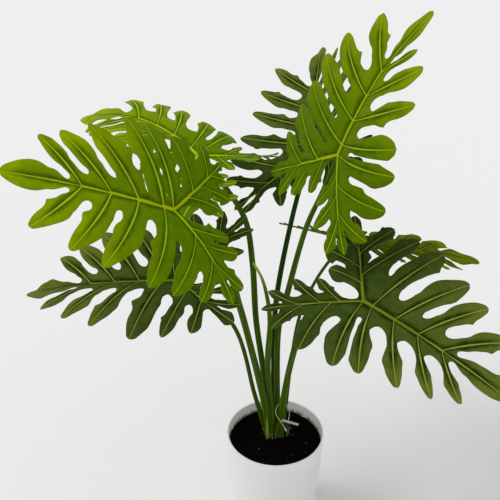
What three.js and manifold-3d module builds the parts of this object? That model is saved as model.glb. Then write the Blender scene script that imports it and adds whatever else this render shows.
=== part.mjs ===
// A potted philodendron: seven deeply lobed leaves on long stalks and one rolled new leaf, rising
// from the soil of a plain tapered pot, with a plastic tag fastener round one stalk. Millimetres,
// +Z up. The origin is the middle of the pot's underside, and the plant's front looks toward -Y.

import * as THREE from "three";
import { mergeVertices } from "three/addons/utils/BufferGeometryUtils.js";
import Module from "manifold-3d";

const wasm = await Module();
wasm.setup();

// Pot: height, outside diameters at the rim and the base, wall, floor, and the roundings of its edges.
const POT_HEIGHT = 150;
const RIM_DIAMETER = 130;
const BASE_DIAMETER = 115;
const POT_WALL = 2.4;
const POT_FLOOR = 4;
const RIM_ROUND = 0.8;
const BASE_ROUND = 1;
const POT_SIDES = 48;

// Soil: height at the wall, on the mound's shoulder and on its flat top, how far out the shoulder and
// the top reach as shares of the soil's radius, and the play at the wall.
const SOIL_EDGE = 129;
const SOIL_SHOULDER = 131.5;
const SOIL_TOP = 135;
const SHOULDER_SHARE = 0.66;
const TOP_SHARE = 0.36;
const WALL_PLAY = 0.55;

// Stalk holes: the play round a stalk and under it, how much a stalk may thicken inside its hole, how
// deep it stands below its first point, and the sides of the hole.
const PLAY = 0.35;
const STALK_SWELL = 0.4;
const FOOT_DEPTH = 45;
const HOLE_SIDES = 12;

// Leaf blade: thickness, clear width of the gap between two lobes, where the notch at the stalk ends,
// how far along the veins the gaps reach in (shares of a vein), and a vein's bow in degrees.
const BLADE = 1.1;
const LOBE_GAP = 4.2;
const NOTCH = -9;
const SINUS = 0.25;
const SMALL_SINUS = 0.32;
const TIP_SINUS = 0.2;
const VEIN_BOW = 7;
const VEIN_SAMPLES = 16;

// Lobes of the flat leaf, in mm and degrees: its name, where the vein leaves its rib, its heading from
// the main rib's own direction, and its length. Each side's list runs from the stalk outward.
const MAIN_RIB = 200;
const RIGHT_LOBES = [
  { name: "side 0", at: 0, heading: 70, length: 101 },
  { name: "side 1", at: 13, heading: 60, length: 95 },
  { name: "side 2", at: 45, heading: 50, length: 93 },
  { name: "side 3", at: 77, heading: 44, length: 80 },
  { name: "side 4", at: 109, heading: 41, length: 66 },
];
const LEFT_LOBES = [
  { name: "side 1", at: 13, heading: 75, length: 100 },
  { name: "side 2", at: 45, heading: 65, length: 92 },
  { name: "side 3", at: 77, heading: 58, length: 84 },
  { name: "side 4", at: 109, heading: 46, length: 73 },
];
const TIP_LOBE = { name: "tip", at: 109, heading: 0, length: MAIN_RIB - 109 };

// The two basal ribs run back from the stalk, each with its own small lobes outside, inside and at its end.
const BASAL_HEADING = 134;
const BASAL_RIB = 80;
const BASAL_END = { name: "end", at: BASAL_RIB, heading: BASAL_HEADING, length: 42 };
const OUTER_LOBES = [
  { name: "outer 1", at: 36, heading: 76, length: 75 },
  { name: "outer 2", at: 68, heading: 92, length: 52 },
];
const INNER_LOBES = [
  { name: "inner 1", at: 26, heading: 186, length: 47 },
  { name: "inner 2", at: 48, heading: 182, length: 52 },
  { name: "inner 3", at: 74, heading: 166, length: 46 },
];

// Half widths of a lobe as shares of its length: how far along its vein, on the side toward the leaf's
// tip and on the side toward the stalk.
const LEFT_SHAPE = [
  { along: 0.42, towardTip: 0.1, towardBase: 0.12 },
  { along: 0.68, towardTip: 0.145, towardBase: 0.18 },
  { along: 0.92, towardTip: 0.075, towardBase: 0.08 },
];
const RIGHT_SHAPE = [
  { along: 0.42, towardTip: 0.095, towardBase: 0.105 },
  { along: 0.68, towardTip: 0.12, towardBase: 0.15 },
  { along: 0.92, towardTip: 0.065, towardBase: 0.07 },
];
const TIP_SHAPE = [
  { along: 0.34, towardTip: 0.11, towardBase: 0.11 },
  { along: 0.62, towardTip: 0.18, towardBase: 0.17 },
  { along: 0.92, towardTip: 0.075, towardBase: 0.07 },
];
const SMALL_SHAPE = [
  { along: 0.6, towardTip: 0.14, towardBase: 0.16 },
  { along: 0.9, towardTip: 0.09, towardBase: 0.1 },
];

// Depth of the ribs under the blade where they leave the stalk, and how far the stalk's end lies below
// the blade's surface there.
const RIB_DEPTH = 3.4;
const BASAL_DEPTH = 2.6;
const STALK_INSET = 1.36;

// Stalks: sides, and the length of one straight stretch.
const STALK_SIDES = 8;
const STALK_STEP = 32;

const BRIGHT = 0x6f9a10;
const DARK = 0x324b14;
const DARKEST = 0x24380f;
const OLIVE = 0x3d5614;

// Each leaf: the point where its stalk meets the blade, its size against the flat leaf, the blade's
// heading (0 is +X, 90 is +Y), pitch and roll (right side down), the bends in degrees along the main
// rib and the basal ribs, how each side folds up at the rib and arches down toward its edge, how the
// blade twists along its main rib, and its stalk from the soil up with the stalk's radius at the soil,
// halfway and at the blade. `grown` names the lobes that differ from the flat leaf's: how many times
// as long each is, and by how many degrees it turns away from the leaf's tip.
const LEAVES = [
  {
    name: "leaf_front_left", color: BRIGHT, size: 1,
    join: [-116, -59, 524], heading: 213, pitch: 32, roll: -56,
    bend: { rib: 25, basal: 9, foldLeft: 31, foldRight: 8, archLeft: 50, archRight: 37 },
    grown: {
      "tip": [0.9, 0], "left side 1": [0.96, 5], "left side 3": [1, 2], "left side 4": [1.04, 3],
      "right side 0": [1, -2], "right side 1": [1.1, 2], "right side 2": [1, -2], "right side 3": [1, -3],
      "left end": [1.1, 0], "left outer 1": [1, -4], "left outer 2": [0.95, -10],
      "left inner 1": [1.3, -3], "left inner 2": [1.1, 0], "left inner 3": [1.15, -6],
      "right end": [0.65, 2], "right outer 1": [0.9, -10], "right outer 2": [0.85, -9],
      "right inner 1": [1.05, -5], "right inner 3": [0.6, 10],
    },
    radius: [3.4, 4.2, 3.2],
    stalk: [[-9, 9, 138], [-12, 7, 176], [-36, -5, 311], [-47, -12, 366], [-58, -17, 412]],
  },
  {
    name: "leaf_back_left", color: BRIGHT, size: 1,
    join: [-101, 121, 502], heading: 132, pitch: 19, roll: 28,
    bend: { rib: 41, basal: -55, foldLeft: -20, foldRight: 41, archLeft: 50, archRight: 56 },
    grown: {
      "tip": [1, -10], "left side 2": [1, -20], "left side 3": [1.1, -20],
      "right side 0": [0.85, 6], "right side 1": [0.8, 2], "right side 2": [0.75, 4],
      "right side 3": [0.93, 8], "right side 4": [1.15, 0], "right outer 1": [0.6, 0],
      "right inner 1": [0.95, 12],
    },
    radius: [3.4, 4.0, 3.2],
    stalk: [[-5, 16, 138], [-14, 32, 211], [-26, 49, 298], [-31, 64, 379], [-40, 80, 431], [-64, 97, 467]],
  },
  {
    name: "leaf_low_left", color: DARK, size: 1,
    join: [-124, -2, 394], heading: 169, pitch: -7, roll: -4,
    bend: { rib: 10, basal: -13, foldLeft: 23, foldRight: 25, archLeft: 55, archRight: 8 },
    grown: {
      "tip": [0.92, -9], "left side 1": [1.03, 5], "left side 4": [0.96, 2], "right side 1": [1, -4],
      "right side 2": [1.05, 0], "left outer 2": [0.9, -9], "left end": [1.1, 6],
    },
    radius: [2.7, 2.7, 2.4],
    stalk: [[-13, 16, 138], [-23, 19, 198], [-52, 21, 315]],
  },
  {
    name: "leaf_top_right", color: BRIGHT, size: 1,
    join: [67, 35, 544], heading: -16, pitch: 73, roll: 45,
    bend: { rib: 28, basal: -15, foldLeft: 6, foldRight: 21, archLeft: 20, archRight: 41 },
    grown: {
      "tip": [0.9, 7], "left side 2": [1.12, 7], "left side 3": [1.08, 9], "left side 4": [0.92, 0],
      "right side 2": [1.03, -2], "right side 3": [1.04, -5], "right side 4": [0.8, -5],
      "left end": [1.3, -2], "left outer 1": [0.85, -5], "left outer 2": [1, -12],
      "left inner 2": [1, -5], "left inner 3": [1.06, 8], "right end": [0.9, -3],
      "right outer 1": [1.06, 0], "right inner 1": [1.1, 8], "right inner 2": [1.05, 6],
    },
    radius: [3.4, 3.9, 2.6],
    stalk: [[3, 16, 138], [6, 33, 298], [14, 37, 348], [34, 40, 444], [50, 38, 490]],
  },
  {
    name: "leaf_top_back", color: DARKEST, size: 1.1,
    join: [48, 181, 476], heading: 85, pitch: 18, roll: -33,
    bend: { rib: 0, basal: 0, foldLeft: 26, foldRight: 25, archLeft: 5, archRight: 18 },
    grown: {
      "tip": [0.95, 4], "left side 1": [0.94, 0], "left side 2": [0.95, 0], "left side 4": [1.1, -3],
      "left outer 1": [1.1, -9], "left outer 2": [1.05, -16], "left inner 3": [1, -14],
    },
    radius: [3.4, 3.6, 2.8],
    stalk: [[-1, 24, 138], [1, 69, 271], [4, 89, 321], [28, 124, 444]],
  },
  {
    name: "leaf_low_right", color: DARK, size: 1,
    join: [94, -67, 410], heading: -48, pitch: 0, roll: 23,
    bend: { rib: 19, basal: -6, foldLeft: 5, foldRight: 21, archLeft: 6, archRight: 21 },
    grown: {
      "tip": [0.96, 0], "left side 1": [1.03, 2], "left side 3": [0.97, 2], "right side 0": [1, -2],
      "right side 1": [1.04, -2], "right side 3": [1.05, 0], "right side 4": [1.03, -2],
      "left end": [1.15, 3], "left outer 1": [1.06, -5], "left outer 2": [1, -15],
      "right end": [0.87, 0], "right outer 2": [0.92, 5], "right inner 1": [1.05, 10],
      "right inner 2": [1, 7], "right inner 3": [0.92, 6],
    },
    radius: [3.4, 4.0, 3.0],
    stalk: [[8, 9, 138], [9, 3, 194], [22, -12, 301], [32, -22, 345]],
  },
  {
    name: "leaf_back_right", color: OLIVE, size: 0.98,
    join: [98, 150, 362], heading: 5, pitch: -12, roll: -25,
    bend: { rib: 4, basal: 2, foldLeft: 2, foldRight: 0, archLeft: 2, archRight: 10 }, twist: 20,
    grown: {
      "left outer 1": [0.8, 0], "left outer 2": [0.75, 0], "left end": [0.8, 0],
      "left inner 1": [0.6, 0], "left inner 2": [0.6, 0], "left inner 3": [0.6, 0],
      "right outer 1": [0.8, 0], "right outer 2": [0.75, 0], "right end": [0.8, 0],
      "right inner 1": [0.6, 0], "right inner 2": [0.6, 0], "right inner 3": [0.6, 0],
    },
    radius: [2.2, 2.2, 2.0],
    stalk: [[11, 17, 138], [31, 62, 294], [52, 90, 331], [74, 119, 348]],
  },
];

// The rolled new leaf that stands among the stalks: a thin sheath with a pale point.
const SHOOT = {
  radius: [2.4, 3.0, 0.8],
  path: [
    [-1, 9, 138], [-6, 11, 190], [-11, 13, 251], [-9, 14, 324], [-13, 14, 360], [-20, 12, 390],
    [-30, 10, 412],
  ],
};

// The plastic tag fastener that hangs on the low right leaf's stalk: a closed loop of cord round the
// stalk, and the flat bar that closes it.
const FASTENER_CORD = { diameter: 1, steps: 20, sides: 6 };
const FASTENER_LOOP = [
  [18, 6, 170], [17, 7.5, 179], [9, 8.4, 187], [0, 3, 188], [3, -1, 176], [9.5, -0.8, 168],
];
const FASTENER_BAR = { from: [8.6, 0, 169.5], to: [31, 5, 156.5], width: 4, thickness: 1.6 };

// Two points nearer than this, in mm, are one point of the flat leaf.
const SAME_POINT = 0.01;

const degrees = (value) => THREE.MathUtils.degToRad(value);

// The direction on the flat leaf at a heading from the main rib, on the right (1) or left (-1) side.
const direction = (heading, side) =>
  new THREE.Vector2(side * Math.sin(degrees(heading)), Math.cos(degrees(heading)));

// One lobe's vein: a gently bowed curve that leaves its rib a little steeper than it ends.
function makeLobe(spec, start, side, shape, sinus, bow, grown) {
  const key = spec === TIP_LOBE ? spec.name : `${side < 0 ? "left" : "right"} ${spec.name}`;
  const [longer, turned] = grown[key] ?? [1, 0];
  const [length, heading] = [spec.length * longer, spec.heading + turned];
  const tip = start.clone().addScaledVector(direction(heading, side), length);
  const steer = start.clone().addScaledVector(direction(heading + bow, side), length / 2);
  const vein = new THREE.QuadraticBezierCurve(start, steer, tip);
  return { start, tip, vein, side, shape, sinus, length };
}

// All lobes in order round the margin, from the stalk's notch up the left side and down the right.
function listLobes(grown) {
  const basalLobes = (side) => {
    const rib = direction(BASAL_HEADING, side);
    const small = (spec, bow) =>
      makeLobe(spec, rib.clone().multiplyScalar(spec.at), side, SMALL_SHAPE, SMALL_SINUS, bow, grown);
    const inner = INNER_LOBES.map((spec) => small(spec, -VEIN_BOW));
    const outer = [...OUTER_LOBES].reverse().map((spec) => small(spec, VEIN_BOW));
    return [...inner, small(BASAL_END, 0), ...outer];
  };
  const mainLobes = (specs, side, shape) => specs.map((spec) =>
    makeLobe(spec, new THREE.Vector2(0, spec.at), side, shape, SINUS, VEIN_BOW, grown));
  const tip = makeLobe(TIP_LOBE, new THREE.Vector2(0, TIP_LOBE.at), 1, TIP_SHAPE, TIP_SINUS, 0, grown);
  return [
    ...basalLobes(-1), ...mainLobes(LEFT_LOBES, -1, LEFT_SHAPE), tip,
    ...mainLobes(RIGHT_LOBES, 1, RIGHT_SHAPE).reverse(), ...basalLobes(1).reverse(),
  ];
}

// How far a ray from a point on one vein runs before it meets the next lobe's vein.
function roomToward(point, normal, other) {
  let room = Infinity;
  const samples = other.vein.getPoints(VEIN_SAMPLES);
  for (let k = 0; k < samples.length - 1; k += 1) {
    const edge = samples[k + 1].clone().sub(samples[k]);
    const offset = samples[k].clone().sub(point);
    const cross = normal.x * edge.y - normal.y * edge.x;
    if (cross === 0) continue;
    const along = (offset.x * edge.y - offset.y * edge.x) / cross;
    const share = (offset.x * normal.y - offset.y * normal.x) / cross;
    if (along > 0 && share >= 0 && share <= 1) room = Math.min(room, along);
  }
  return room;
}

// The margin of half a lobe, from the bottom of the gap beside it out to its tip, as pairs of a point on
// the vein and a point on the margin. `turn` is 1 toward the next lobe round the margin and -1 back.
function halfLobe(lobe, neighbour, bottom, turn) {
  const towardTip = lobe.side < 0 ? turn > 0 : turn < 0;
  const rungs = [[lobe.start, bottom]];
  for (const { along, towardTip: wide, towardBase: full } of lobe.shape) {
    const point = lobe.vein.getPoint(along);
    const tangent = lobe.vein.getTangent(along);
    const normal = new THREE.Vector2(tangent.y, -tangent.x).multiplyScalar(turn);
    let width = (towardTip ? wide : full) * lobe.length;
    if (neighbour) width = Math.min(width, (roomToward(point, normal, neighbour) - LOBE_GAP) / 2);
    else width = Math.min(width, Math.abs(point.x) - LOBE_GAP / 2);
    rungs.push([point, point.clone().addScaledVector(normal, width)]);
  }
  rungs.push([lobe.tip, lobe.tip]);
  return rungs;
}

// Every place on the three ribs where a vein leaves, on either side.
function ribStations() {
  const basal = [...OUTER_LOBES, ...INNER_LOBES, BASAL_END].map((spec) => spec.at);
  const main = LEFT_LOBES.map((spec) => spec.at);
  return [
    ...[-1, 1].flatMap((side) => basal.map((at) => direction(BASAL_HEADING, side).multiplyScalar(at))),
    new THREE.Vector2(0, 0), ...main.map((at) => new THREE.Vector2(0, at)),
  ];
}

// The stations on the ribs from one vein to the next, so that both sides of a rib share them.
function ribPath(from, to, stations) {
  const joint = new THREE.Vector2(0, 0);
  const same = (a, b) => a.distanceTo(b) < SAME_POINT;
  const onSegment = (p, a, b) => {
    const span = b.clone().sub(a);
    const share = p.clone().sub(a).dot(span) / span.lengthSq();
    const inside = share > 0 && share < 1 && !same(p, a) && !same(p, b);
    return inside && same(a.clone().addScaledVector(span, share), p);
  };
  const between = (a, b) => stations.filter((p) => onSegment(p, a, b))
    .sort((p, q) => p.distanceTo(a) - q.distanceTo(a));
  const fromJoint = same(from, joint) || same(to, joint);
  const sameRib = fromJoint || (Math.abs(from.cross(to)) < SAME_POINT && from.dot(to) > 0);
  if (sameRib) return [from, ...between(from, to), to];
  return [from, ...between(from, joint), joint, ...between(joint, to), to];
}

// A leaf's flat blade as triangles on shared points.
function flatBlade(grown) {
  const points = [];
  const keys = new Map();
  const triangles = [];
  const index = (p) => {
    const key = `${p.x.toFixed(3)},${p.y.toFixed(3)}`;
    if (!keys.has(key)) {
      keys.set(key, points.length);
      points.push(p);
    }
    return keys.get(key);
  };
  const add = (a, b, c) => {
    const [i, j, k] = [index(a), index(b), index(c)];
    if (i === j || j === k || k === i) return;
    const area = b.clone().sub(a).cross(c.clone().sub(a));
    triangles.push(area > 0 ? [i, j, k] : [i, k, j]);
  };
  const lobes = listLobes(grown);
  const stations = ribStations();
  const notch = new THREE.Vector2(0, NOTCH);
  const bottoms = [];
  for (let k = 0; k < lobes.length - 1; k += 1) {
    const one = lobes[k].vein.getPoint(lobes[k].sinus);
    const two = lobes[k + 1].vein.getPoint(lobes[k + 1].sinus);
    bottoms.push(one.clone().add(two).multiplyScalar(0.5));
  }
  lobes.forEach((lobe, k) => {
    const before = halfLobe(lobe, lobes[k - 1], k > 0 ? bottoms[k - 1] : notch, -1);
    const after = halfLobe(lobe, lobes[k + 1], k < bottoms.length ? bottoms[k] : notch, 1);
    for (const rungs of [before, after]) {
      for (let r = 0; r < rungs.length - 1; r += 1) {
        const [[inA, outA], [inB, outB]] = [rungs[r], rungs[r + 1]];
        add(inA, outA, outB);
        add(inA, outB, inB);
      }
    }
    const next = lobes[k + 1] ?? lobes[0];
    const path = ribPath(lobe.start, next.start, stations);
    const bottom = k < bottoms.length ? bottoms[k] : notch;
    for (let r = 0; r < path.length - 1; r += 1) add(path[r], path[r + 1], bottom);
  });
  return { points, triangles };
}

// Run along and rise above the start of an arc that starts at an angle and bends down over its length.
function arc(angle, length, bendPerMm) {
  if (bendPerMm === 0) {
    return { run: length * Math.cos(angle), rise: length * Math.sin(angle), end: angle };
  }
  const end = angle - bendPerMm * length;
  return {
    run: (Math.sin(angle) - Math.sin(end)) / bendPerMm,
    rise: (Math.cos(end) - Math.cos(angle)) / bendPerMm,
    end,
  };
}

// Places a point of the flat leaf, `up` above its surface, on the bent leaf in the room.
function placeOnLeaf(leaf, flatX, flatY, up = 0) {
  const { rib, basal, foldLeft, foldRight, archLeft, archRight } = leaf.bend;
  const [x, y, length] = [flatX, flatY, MAIN_RIB].map((value) => value * leaf.size);
  const ahead = y >= 0;
  const along = arc(0, Math.abs(y), degrees(ahead ? rib : basal) / (ahead ? length : length / 2));
  const tilt = ahead ? along.end : -along.end;
  const fold = degrees(x >= 0 ? foldRight : foldLeft);
  const across = arc(fold, Math.abs(x), degrees(x >= 0 ? archRight : archLeft) / (length / 2));
  const twist = degrees(leaf.twist ?? 0) * (y / length);
  const sideways = Math.sign(x) * across.run;
  const lift = (across.rise + up) * Math.cos(twist) - sideways * Math.sin(twist);
  const local = new THREE.Vector3(
    sideways * Math.cos(twist) + (across.rise + up) * Math.sin(twist),
    (ahead ? along.run : -along.run) - lift * Math.sin(tilt),
    along.rise + lift * Math.cos(tilt),
  );
  const [head, pitch, roll] = [leaf.heading, leaf.pitch, leaf.roll].map(degrees);
  const forward = new THREE.Vector3(
    Math.cos(pitch) * Math.cos(head), Math.cos(pitch) * Math.sin(head), Math.sin(pitch));
  const side = new THREE.Vector3(Math.sin(head), -Math.cos(head), 0);
  const upright = side.clone().cross(forward);
  const right = side.multiplyScalar(Math.cos(roll)).addScaledVector(upright, -Math.sin(roll));
  const normal = right.clone().cross(forward);
  return new THREE.Vector3(...leaf.join)
    .addScaledVector(right, local.x).addScaledVector(forward, local.y).addScaledVector(normal, local.z);
}

// How far the underside lies below the middle of the blade: deeper along the ribs, tapering outward.
function depthBelow(point) {
  const onRib = (heading, side, length, depth) => {
    const rib = direction(heading, side);
    const off = Math.abs(point.cross(rib)) > SAME_POINT || point.dot(rib) < -SAME_POINT;
    return off ? 0 : THREE.MathUtils.lerp(depth, BLADE / 2, Math.min(1, point.dot(rib) / length));
  };
  const basalLength = BASAL_RIB + BASAL_END.length;
  return Math.max(
    BLADE / 2,
    onRib(0, 1, MAIN_RIB, RIB_DEPTH),
    onRib(BASAL_HEADING, -1, basalLength, BASAL_DEPTH),
    onRib(BASAL_HEADING, 1, basalLength, BASAL_DEPTH),
  );
}

// A closed blade: the same triangles above and below, and a wall round the margin.
function bladeGeometry(leaf) {
  const flat = flatBlade(leaf.grown);
  const middle = flat.points.map((p) => placeOnLeaf(leaf, p.x, p.y));
  const normals = middle.map(() => new THREE.Vector3());
  for (const [a, b, c] of flat.triangles) {
    const face = middle[b].clone().sub(middle[a]).cross(middle[c].clone().sub(middle[a]));
    for (const corner of [a, b, c]) normals[corner].add(face);
  }
  normals.forEach((normal) => normal.normalize());
  const count = middle.length;
  const position = [];
  middle.forEach((p, k) => position.push(...p.clone().addScaledVector(normals[k], BLADE / 2).toArray()));
  middle.forEach((p, k) => {
    position.push(...p.clone().addScaledVector(normals[k], -depthBelow(flat.points[k])).toArray());
  });
  const index = [];
  const edges = new Set();
  for (const [a, b, c] of flat.triangles) {
    index.push(a, b, c, a + count, c + count, b + count);
    for (const [from, to] of [[a, b], [b, c], [c, a]]) edges.add(`${from},${to}`);
  }
  for (const [a, b, c] of flat.triangles) {
    for (const [from, to] of [[a, b], [b, c], [c, a]]) {
      if (!edges.has(`${to},${from}`)) index.push(from, from + count, to + count, from, to + count, to);
    }
  }
  return closedGeometry(position, index);
}

function closedGeometry(position, index) {
  const geometry = new THREE.BufferGeometry();
  geometry.setAttribute("position", new THREE.Float32BufferAttribute(position, 3));
  geometry.setIndex(index);
  return geometry;
}

// A closed round stem through a list of centres, with a radius at each. Each ring is square to the
// stem and keeps the last ring's turn, so the sides run straight.
function stemGeometry(centres, radii, sides) {
  const position = [];
  let across = new THREE.Vector3(1, 0, 0);
  centres.forEach((centre, k) => {
    const ahead = centres[Math.min(k + 1, centres.length - 1)];
    const tangent = ahead.clone().sub(centres[Math.max(k - 1, 0)]).normalize();
    across = across.clone().addScaledVector(tangent, -across.dot(tangent)).normalize();
    const other = tangent.clone().cross(across);
    for (let s = 0; s < sides; s += 1) {
      const angle = (2 * Math.PI * s) / sides;
      const p = centre.clone()
        .addScaledVector(across, radii[k] * Math.cos(angle))
        .addScaledVector(other, radii[k] * Math.sin(angle));
      position.push(p.x, p.y, p.z);
    }
  });
  const index = [];
  const last = centres.length - 1;
  for (let k = 0; k < last; k += 1) {
    for (let s = 0; s < sides; s += 1) {
      const [a, b] = [k * sides + s, k * sides + ((s + 1) % sides)];
      index.push(a, b, b + sides, a, b + sides, a + sides);
    }
  }
  const start = position.length / 3;
  position.push(...centres[0].toArray(), ...centres[last].toArray());
  for (let s = 0; s < sides; s += 1) {
    const next = (s + 1) % sides;
    index.push(start, next, s, start + 1, last * sides + s, last * sides + next);
  }
  return closedGeometry(position, index);
}

// A stalk stands straight in its hole and then bends through its points. `radii` are its radius at the
// soil, halfway and at the end.
function stalkGeometry(points, radii) {
  const curve = new THREE.CatmullRomCurve3(points.map((p) => new THREE.Vector3(...p)));
  const steps = Math.max(4, Math.round(curve.getLength() / STALK_STEP));
  const [low, middle, high] = radii;
  const foot = new THREE.Vector3(points[0][0], points[0][1], points[0][2] - FOOT_DEPTH);
  const centres = [foot];
  const widths = [low];
  for (let k = 0; k <= steps; k += 1) {
    const share = k / steps;
    centres.push(curve.getPointAt(share));
    widths.push(share < 0.5
      ? THREE.MathUtils.lerp(low, middle, share * 2) : THREE.MathUtils.lerp(middle, high, share * 2 - 1));
  }
  return stemGeometry(centres, widths, STALK_SIDES);
}

function toSolid(geometry) {
  const bare = geometry.clone();
  bare.deleteAttribute("normal");
  bare.deleteAttribute("uv");
  const merged = mergeVertices(bare, 1e-4);
  const mesh = new wasm.Mesh({
    numProp: 3,
    vertProperties: new Float32Array(merged.attributes.position.array),
    triVerts: new Uint32Array(merged.index.array),
  });
  return new wasm.Manifold(mesh);
}

function toGeometry(solid) {
  const mesh = solid.getMesh();
  return closedGeometry(Array.from(mesh.vertProperties), Array.from(mesh.triVerts));
}

// The outer body alone, without the small pockets that a join can close between a rib and the blade.
const largestBody = (solid) =>
  solid.decompose().reduce((best, piece) => (piece.volume() > best.volume() ? piece : best));

function leafGeometry(leaf) {
  const top = placeOnLeaf(leaf, 0, 0, -STALK_INSET);
  const stalk = stalkGeometry([...leaf.stalk, top.toArray()], leaf.radius);
  return largestBody(toSolid(bladeGeometry(leaf)).add(toSolid(stalk)));
}

const lathe = (profile, sides) => {
  const geometry = new THREE.LatheGeometry(profile.map(([radius, z]) => new THREE.Vector2(radius, z)), sides);
  return geometry.rotateX(Math.PI / 2);
};

// Inside radius of the pot at a height.
const insideRadius = (z) =>
  THREE.MathUtils.lerp(BASE_DIAMETER / 2, RIM_DIAMETER / 2, z / POT_HEIGHT) - POT_WALL;

function potGeometry() {
  const [base, rim] = [BASE_DIAMETER / 2, RIM_DIAMETER / 2];
  return lathe([
    [0, 0], [base - BASE_ROUND, 0], [base, BASE_ROUND], [rim, POT_HEIGHT - RIM_ROUND],
    [rim - RIM_ROUND, POT_HEIGHT], [rim - POT_WALL + RIM_ROUND, POT_HEIGHT],
    [rim - POT_WALL, POT_HEIGHT - RIM_ROUND], [insideRadius(POT_FLOOR), POT_FLOOR], [0, POT_FLOOR],
  ], POT_SIDES);
}

// The soil fills the pot to a low mound, with one plain hole for each stalk.
function soilSolid(stalkFeet) {
  const bottom = POT_FLOOR + PLAY;
  const edge = insideRadius(SOIL_EDGE) - WALL_PLAY;
  const body = lathe([
    [0, bottom], [insideRadius(bottom) - WALL_PLAY, bottom], [edge, SOIL_EDGE],
    [edge * SHOULDER_SHARE, SOIL_SHOULDER], [edge * TOP_SHARE, SOIL_TOP], [0, SOIL_TOP],
  ], POT_SIDES);
  return stalkFeet.reduce((soil, { x, y, foot, radius }) => {
    const holeRadius = (radius + STALK_SWELL + PLAY) / Math.cos(Math.PI / HOLE_SIDES);
    const floor = foot - PLAY;
    const height = POT_HEIGHT - floor;
    const hole = new THREE.CylinderGeometry(holeRadius, holeRadius, height, HOLE_SIDES);
    hole.rotateX(Math.PI / 2).translate(x, y, floor + height / 2);
    return soil.subtract(toSolid(hole));
  }, toSolid(body));
}

// The tag fastener: its cord is a closed tube, and its bar lies across the loop's front.
function fastenerGeometry() {
  const loop = new THREE.CatmullRomCurve3(FASTENER_LOOP.map((p) => new THREE.Vector3(...p)), true);
  const { diameter, steps, sides } = FASTENER_CORD;
  const cord = new THREE.TubeGeometry(loop, steps, diameter / 2, sides, true);
  const [from, to] = [FASTENER_BAR.from, FASTENER_BAR.to].map((p) => new THREE.Vector3(...p));
  const bar = new THREE.BoxGeometry(FASTENER_BAR.thickness, FASTENER_BAR.width, from.distanceTo(to));
  bar.lookAt(to.clone().sub(from));
  bar.translate(...from.clone().add(to).multiplyScalar(0.5).toArray());
  return largestBody(toSolid(cord).add(toSolid(bar)));
}

function makeMesh(name, geometry, color, roughness) {
  const mesh = new THREE.Mesh(geometry, new THREE.MeshStandardMaterial({ color, roughness, metalness: 0 }));
  mesh.name = name;
  return mesh;
}

function makePlant() {
  const plant = new THREE.Group();
  const stems = [...LEAVES.map((leaf) => [leaf.stalk[0], leaf.radius[0]]), [SHOOT.path[0], SHOOT.radius[0]]];
  const feet = stems.map(([[x, y, z], radius]) => ({ x, y, foot: z - FOOT_DEPTH, radius }));
  plant.add(makeMesh("pot", potGeometry(), 0xf4f3f1, 0.35));
  plant.add(makeMesh("soil", toGeometry(soilSolid(feet)), 0x0c0a08, 0.95));
  for (const leaf of LEAVES) {
    plant.add(makeMesh(leaf.name, toGeometry(leafGeometry(leaf)), leaf.color, 0.45));
  }
  plant.add(makeMesh("new_shoot", stalkGeometry(SHOOT.path, SHOOT.radius), 0x6d9020, 0.5));
  plant.add(makeMesh("tag_fastener", toGeometry(fastenerGeometry()), 0xf2f2f0, 0.4));
  return plant;
}

export default makePlant();
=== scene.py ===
"""A potted philodendron: seven deeply lobed leaves and a new shoot rising from the soil of a white pot."""

import math
import random

import bmesh
import bpy
from mathutils import Matrix, Vector, noise


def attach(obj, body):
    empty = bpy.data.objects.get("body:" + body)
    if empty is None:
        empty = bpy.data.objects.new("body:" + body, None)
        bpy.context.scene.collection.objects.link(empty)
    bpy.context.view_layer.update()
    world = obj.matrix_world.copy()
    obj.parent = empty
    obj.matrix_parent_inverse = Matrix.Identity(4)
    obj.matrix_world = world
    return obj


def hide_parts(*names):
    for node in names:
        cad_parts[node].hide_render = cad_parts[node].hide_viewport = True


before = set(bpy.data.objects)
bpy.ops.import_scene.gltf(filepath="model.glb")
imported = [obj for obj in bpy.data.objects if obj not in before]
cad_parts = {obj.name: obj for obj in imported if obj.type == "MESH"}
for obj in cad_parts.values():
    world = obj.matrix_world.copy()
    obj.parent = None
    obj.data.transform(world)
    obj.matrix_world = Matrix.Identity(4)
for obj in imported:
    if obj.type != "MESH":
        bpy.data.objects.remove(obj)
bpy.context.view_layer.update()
scene = bpy.context.scene

# Camera. The photograph looks down on the plant from the front, from a little over a metre away, with
# a long lens, so that the plant fills a square frame.
CAMERA_PLACE = (-0.034, -0.8987, 0.996)
LOOKS_DOWN = 31.9
SENSOR_WIDTH = 36
LENS = 64.8
FARTHEST_VIEW = 60

camera_data = bpy.data.cameras.new("camera")
camera_data.sensor_width = SENSOR_WIDTH
camera_data.lens = LENS
camera_data.clip_end = FARTHEST_VIEW
camera = bpy.data.objects.new("camera", camera_data)
camera.location = CAMERA_PLACE
camera.rotation_euler = (math.radians(90 - LOOKS_DOWN), 0, 0)
scene.collection.objects.link(camera)
scene.camera = camera

# Floor and light. A plain pale floor that runs out of sight, a bright even room, and one broad soft
# light from high at the back left, which throws the soft shadows to the lower right.
FLOOR_REACH = 12
FLOOR_GREY = (0.84, 0.84, 0.84)
ROOM_STRENGTH = 0.68
LIGHT_FROM = (-0.6, 0.04, 0.8)
LIGHT_STRENGTH = 1.35
LIGHT_BREADTH = 30


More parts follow.
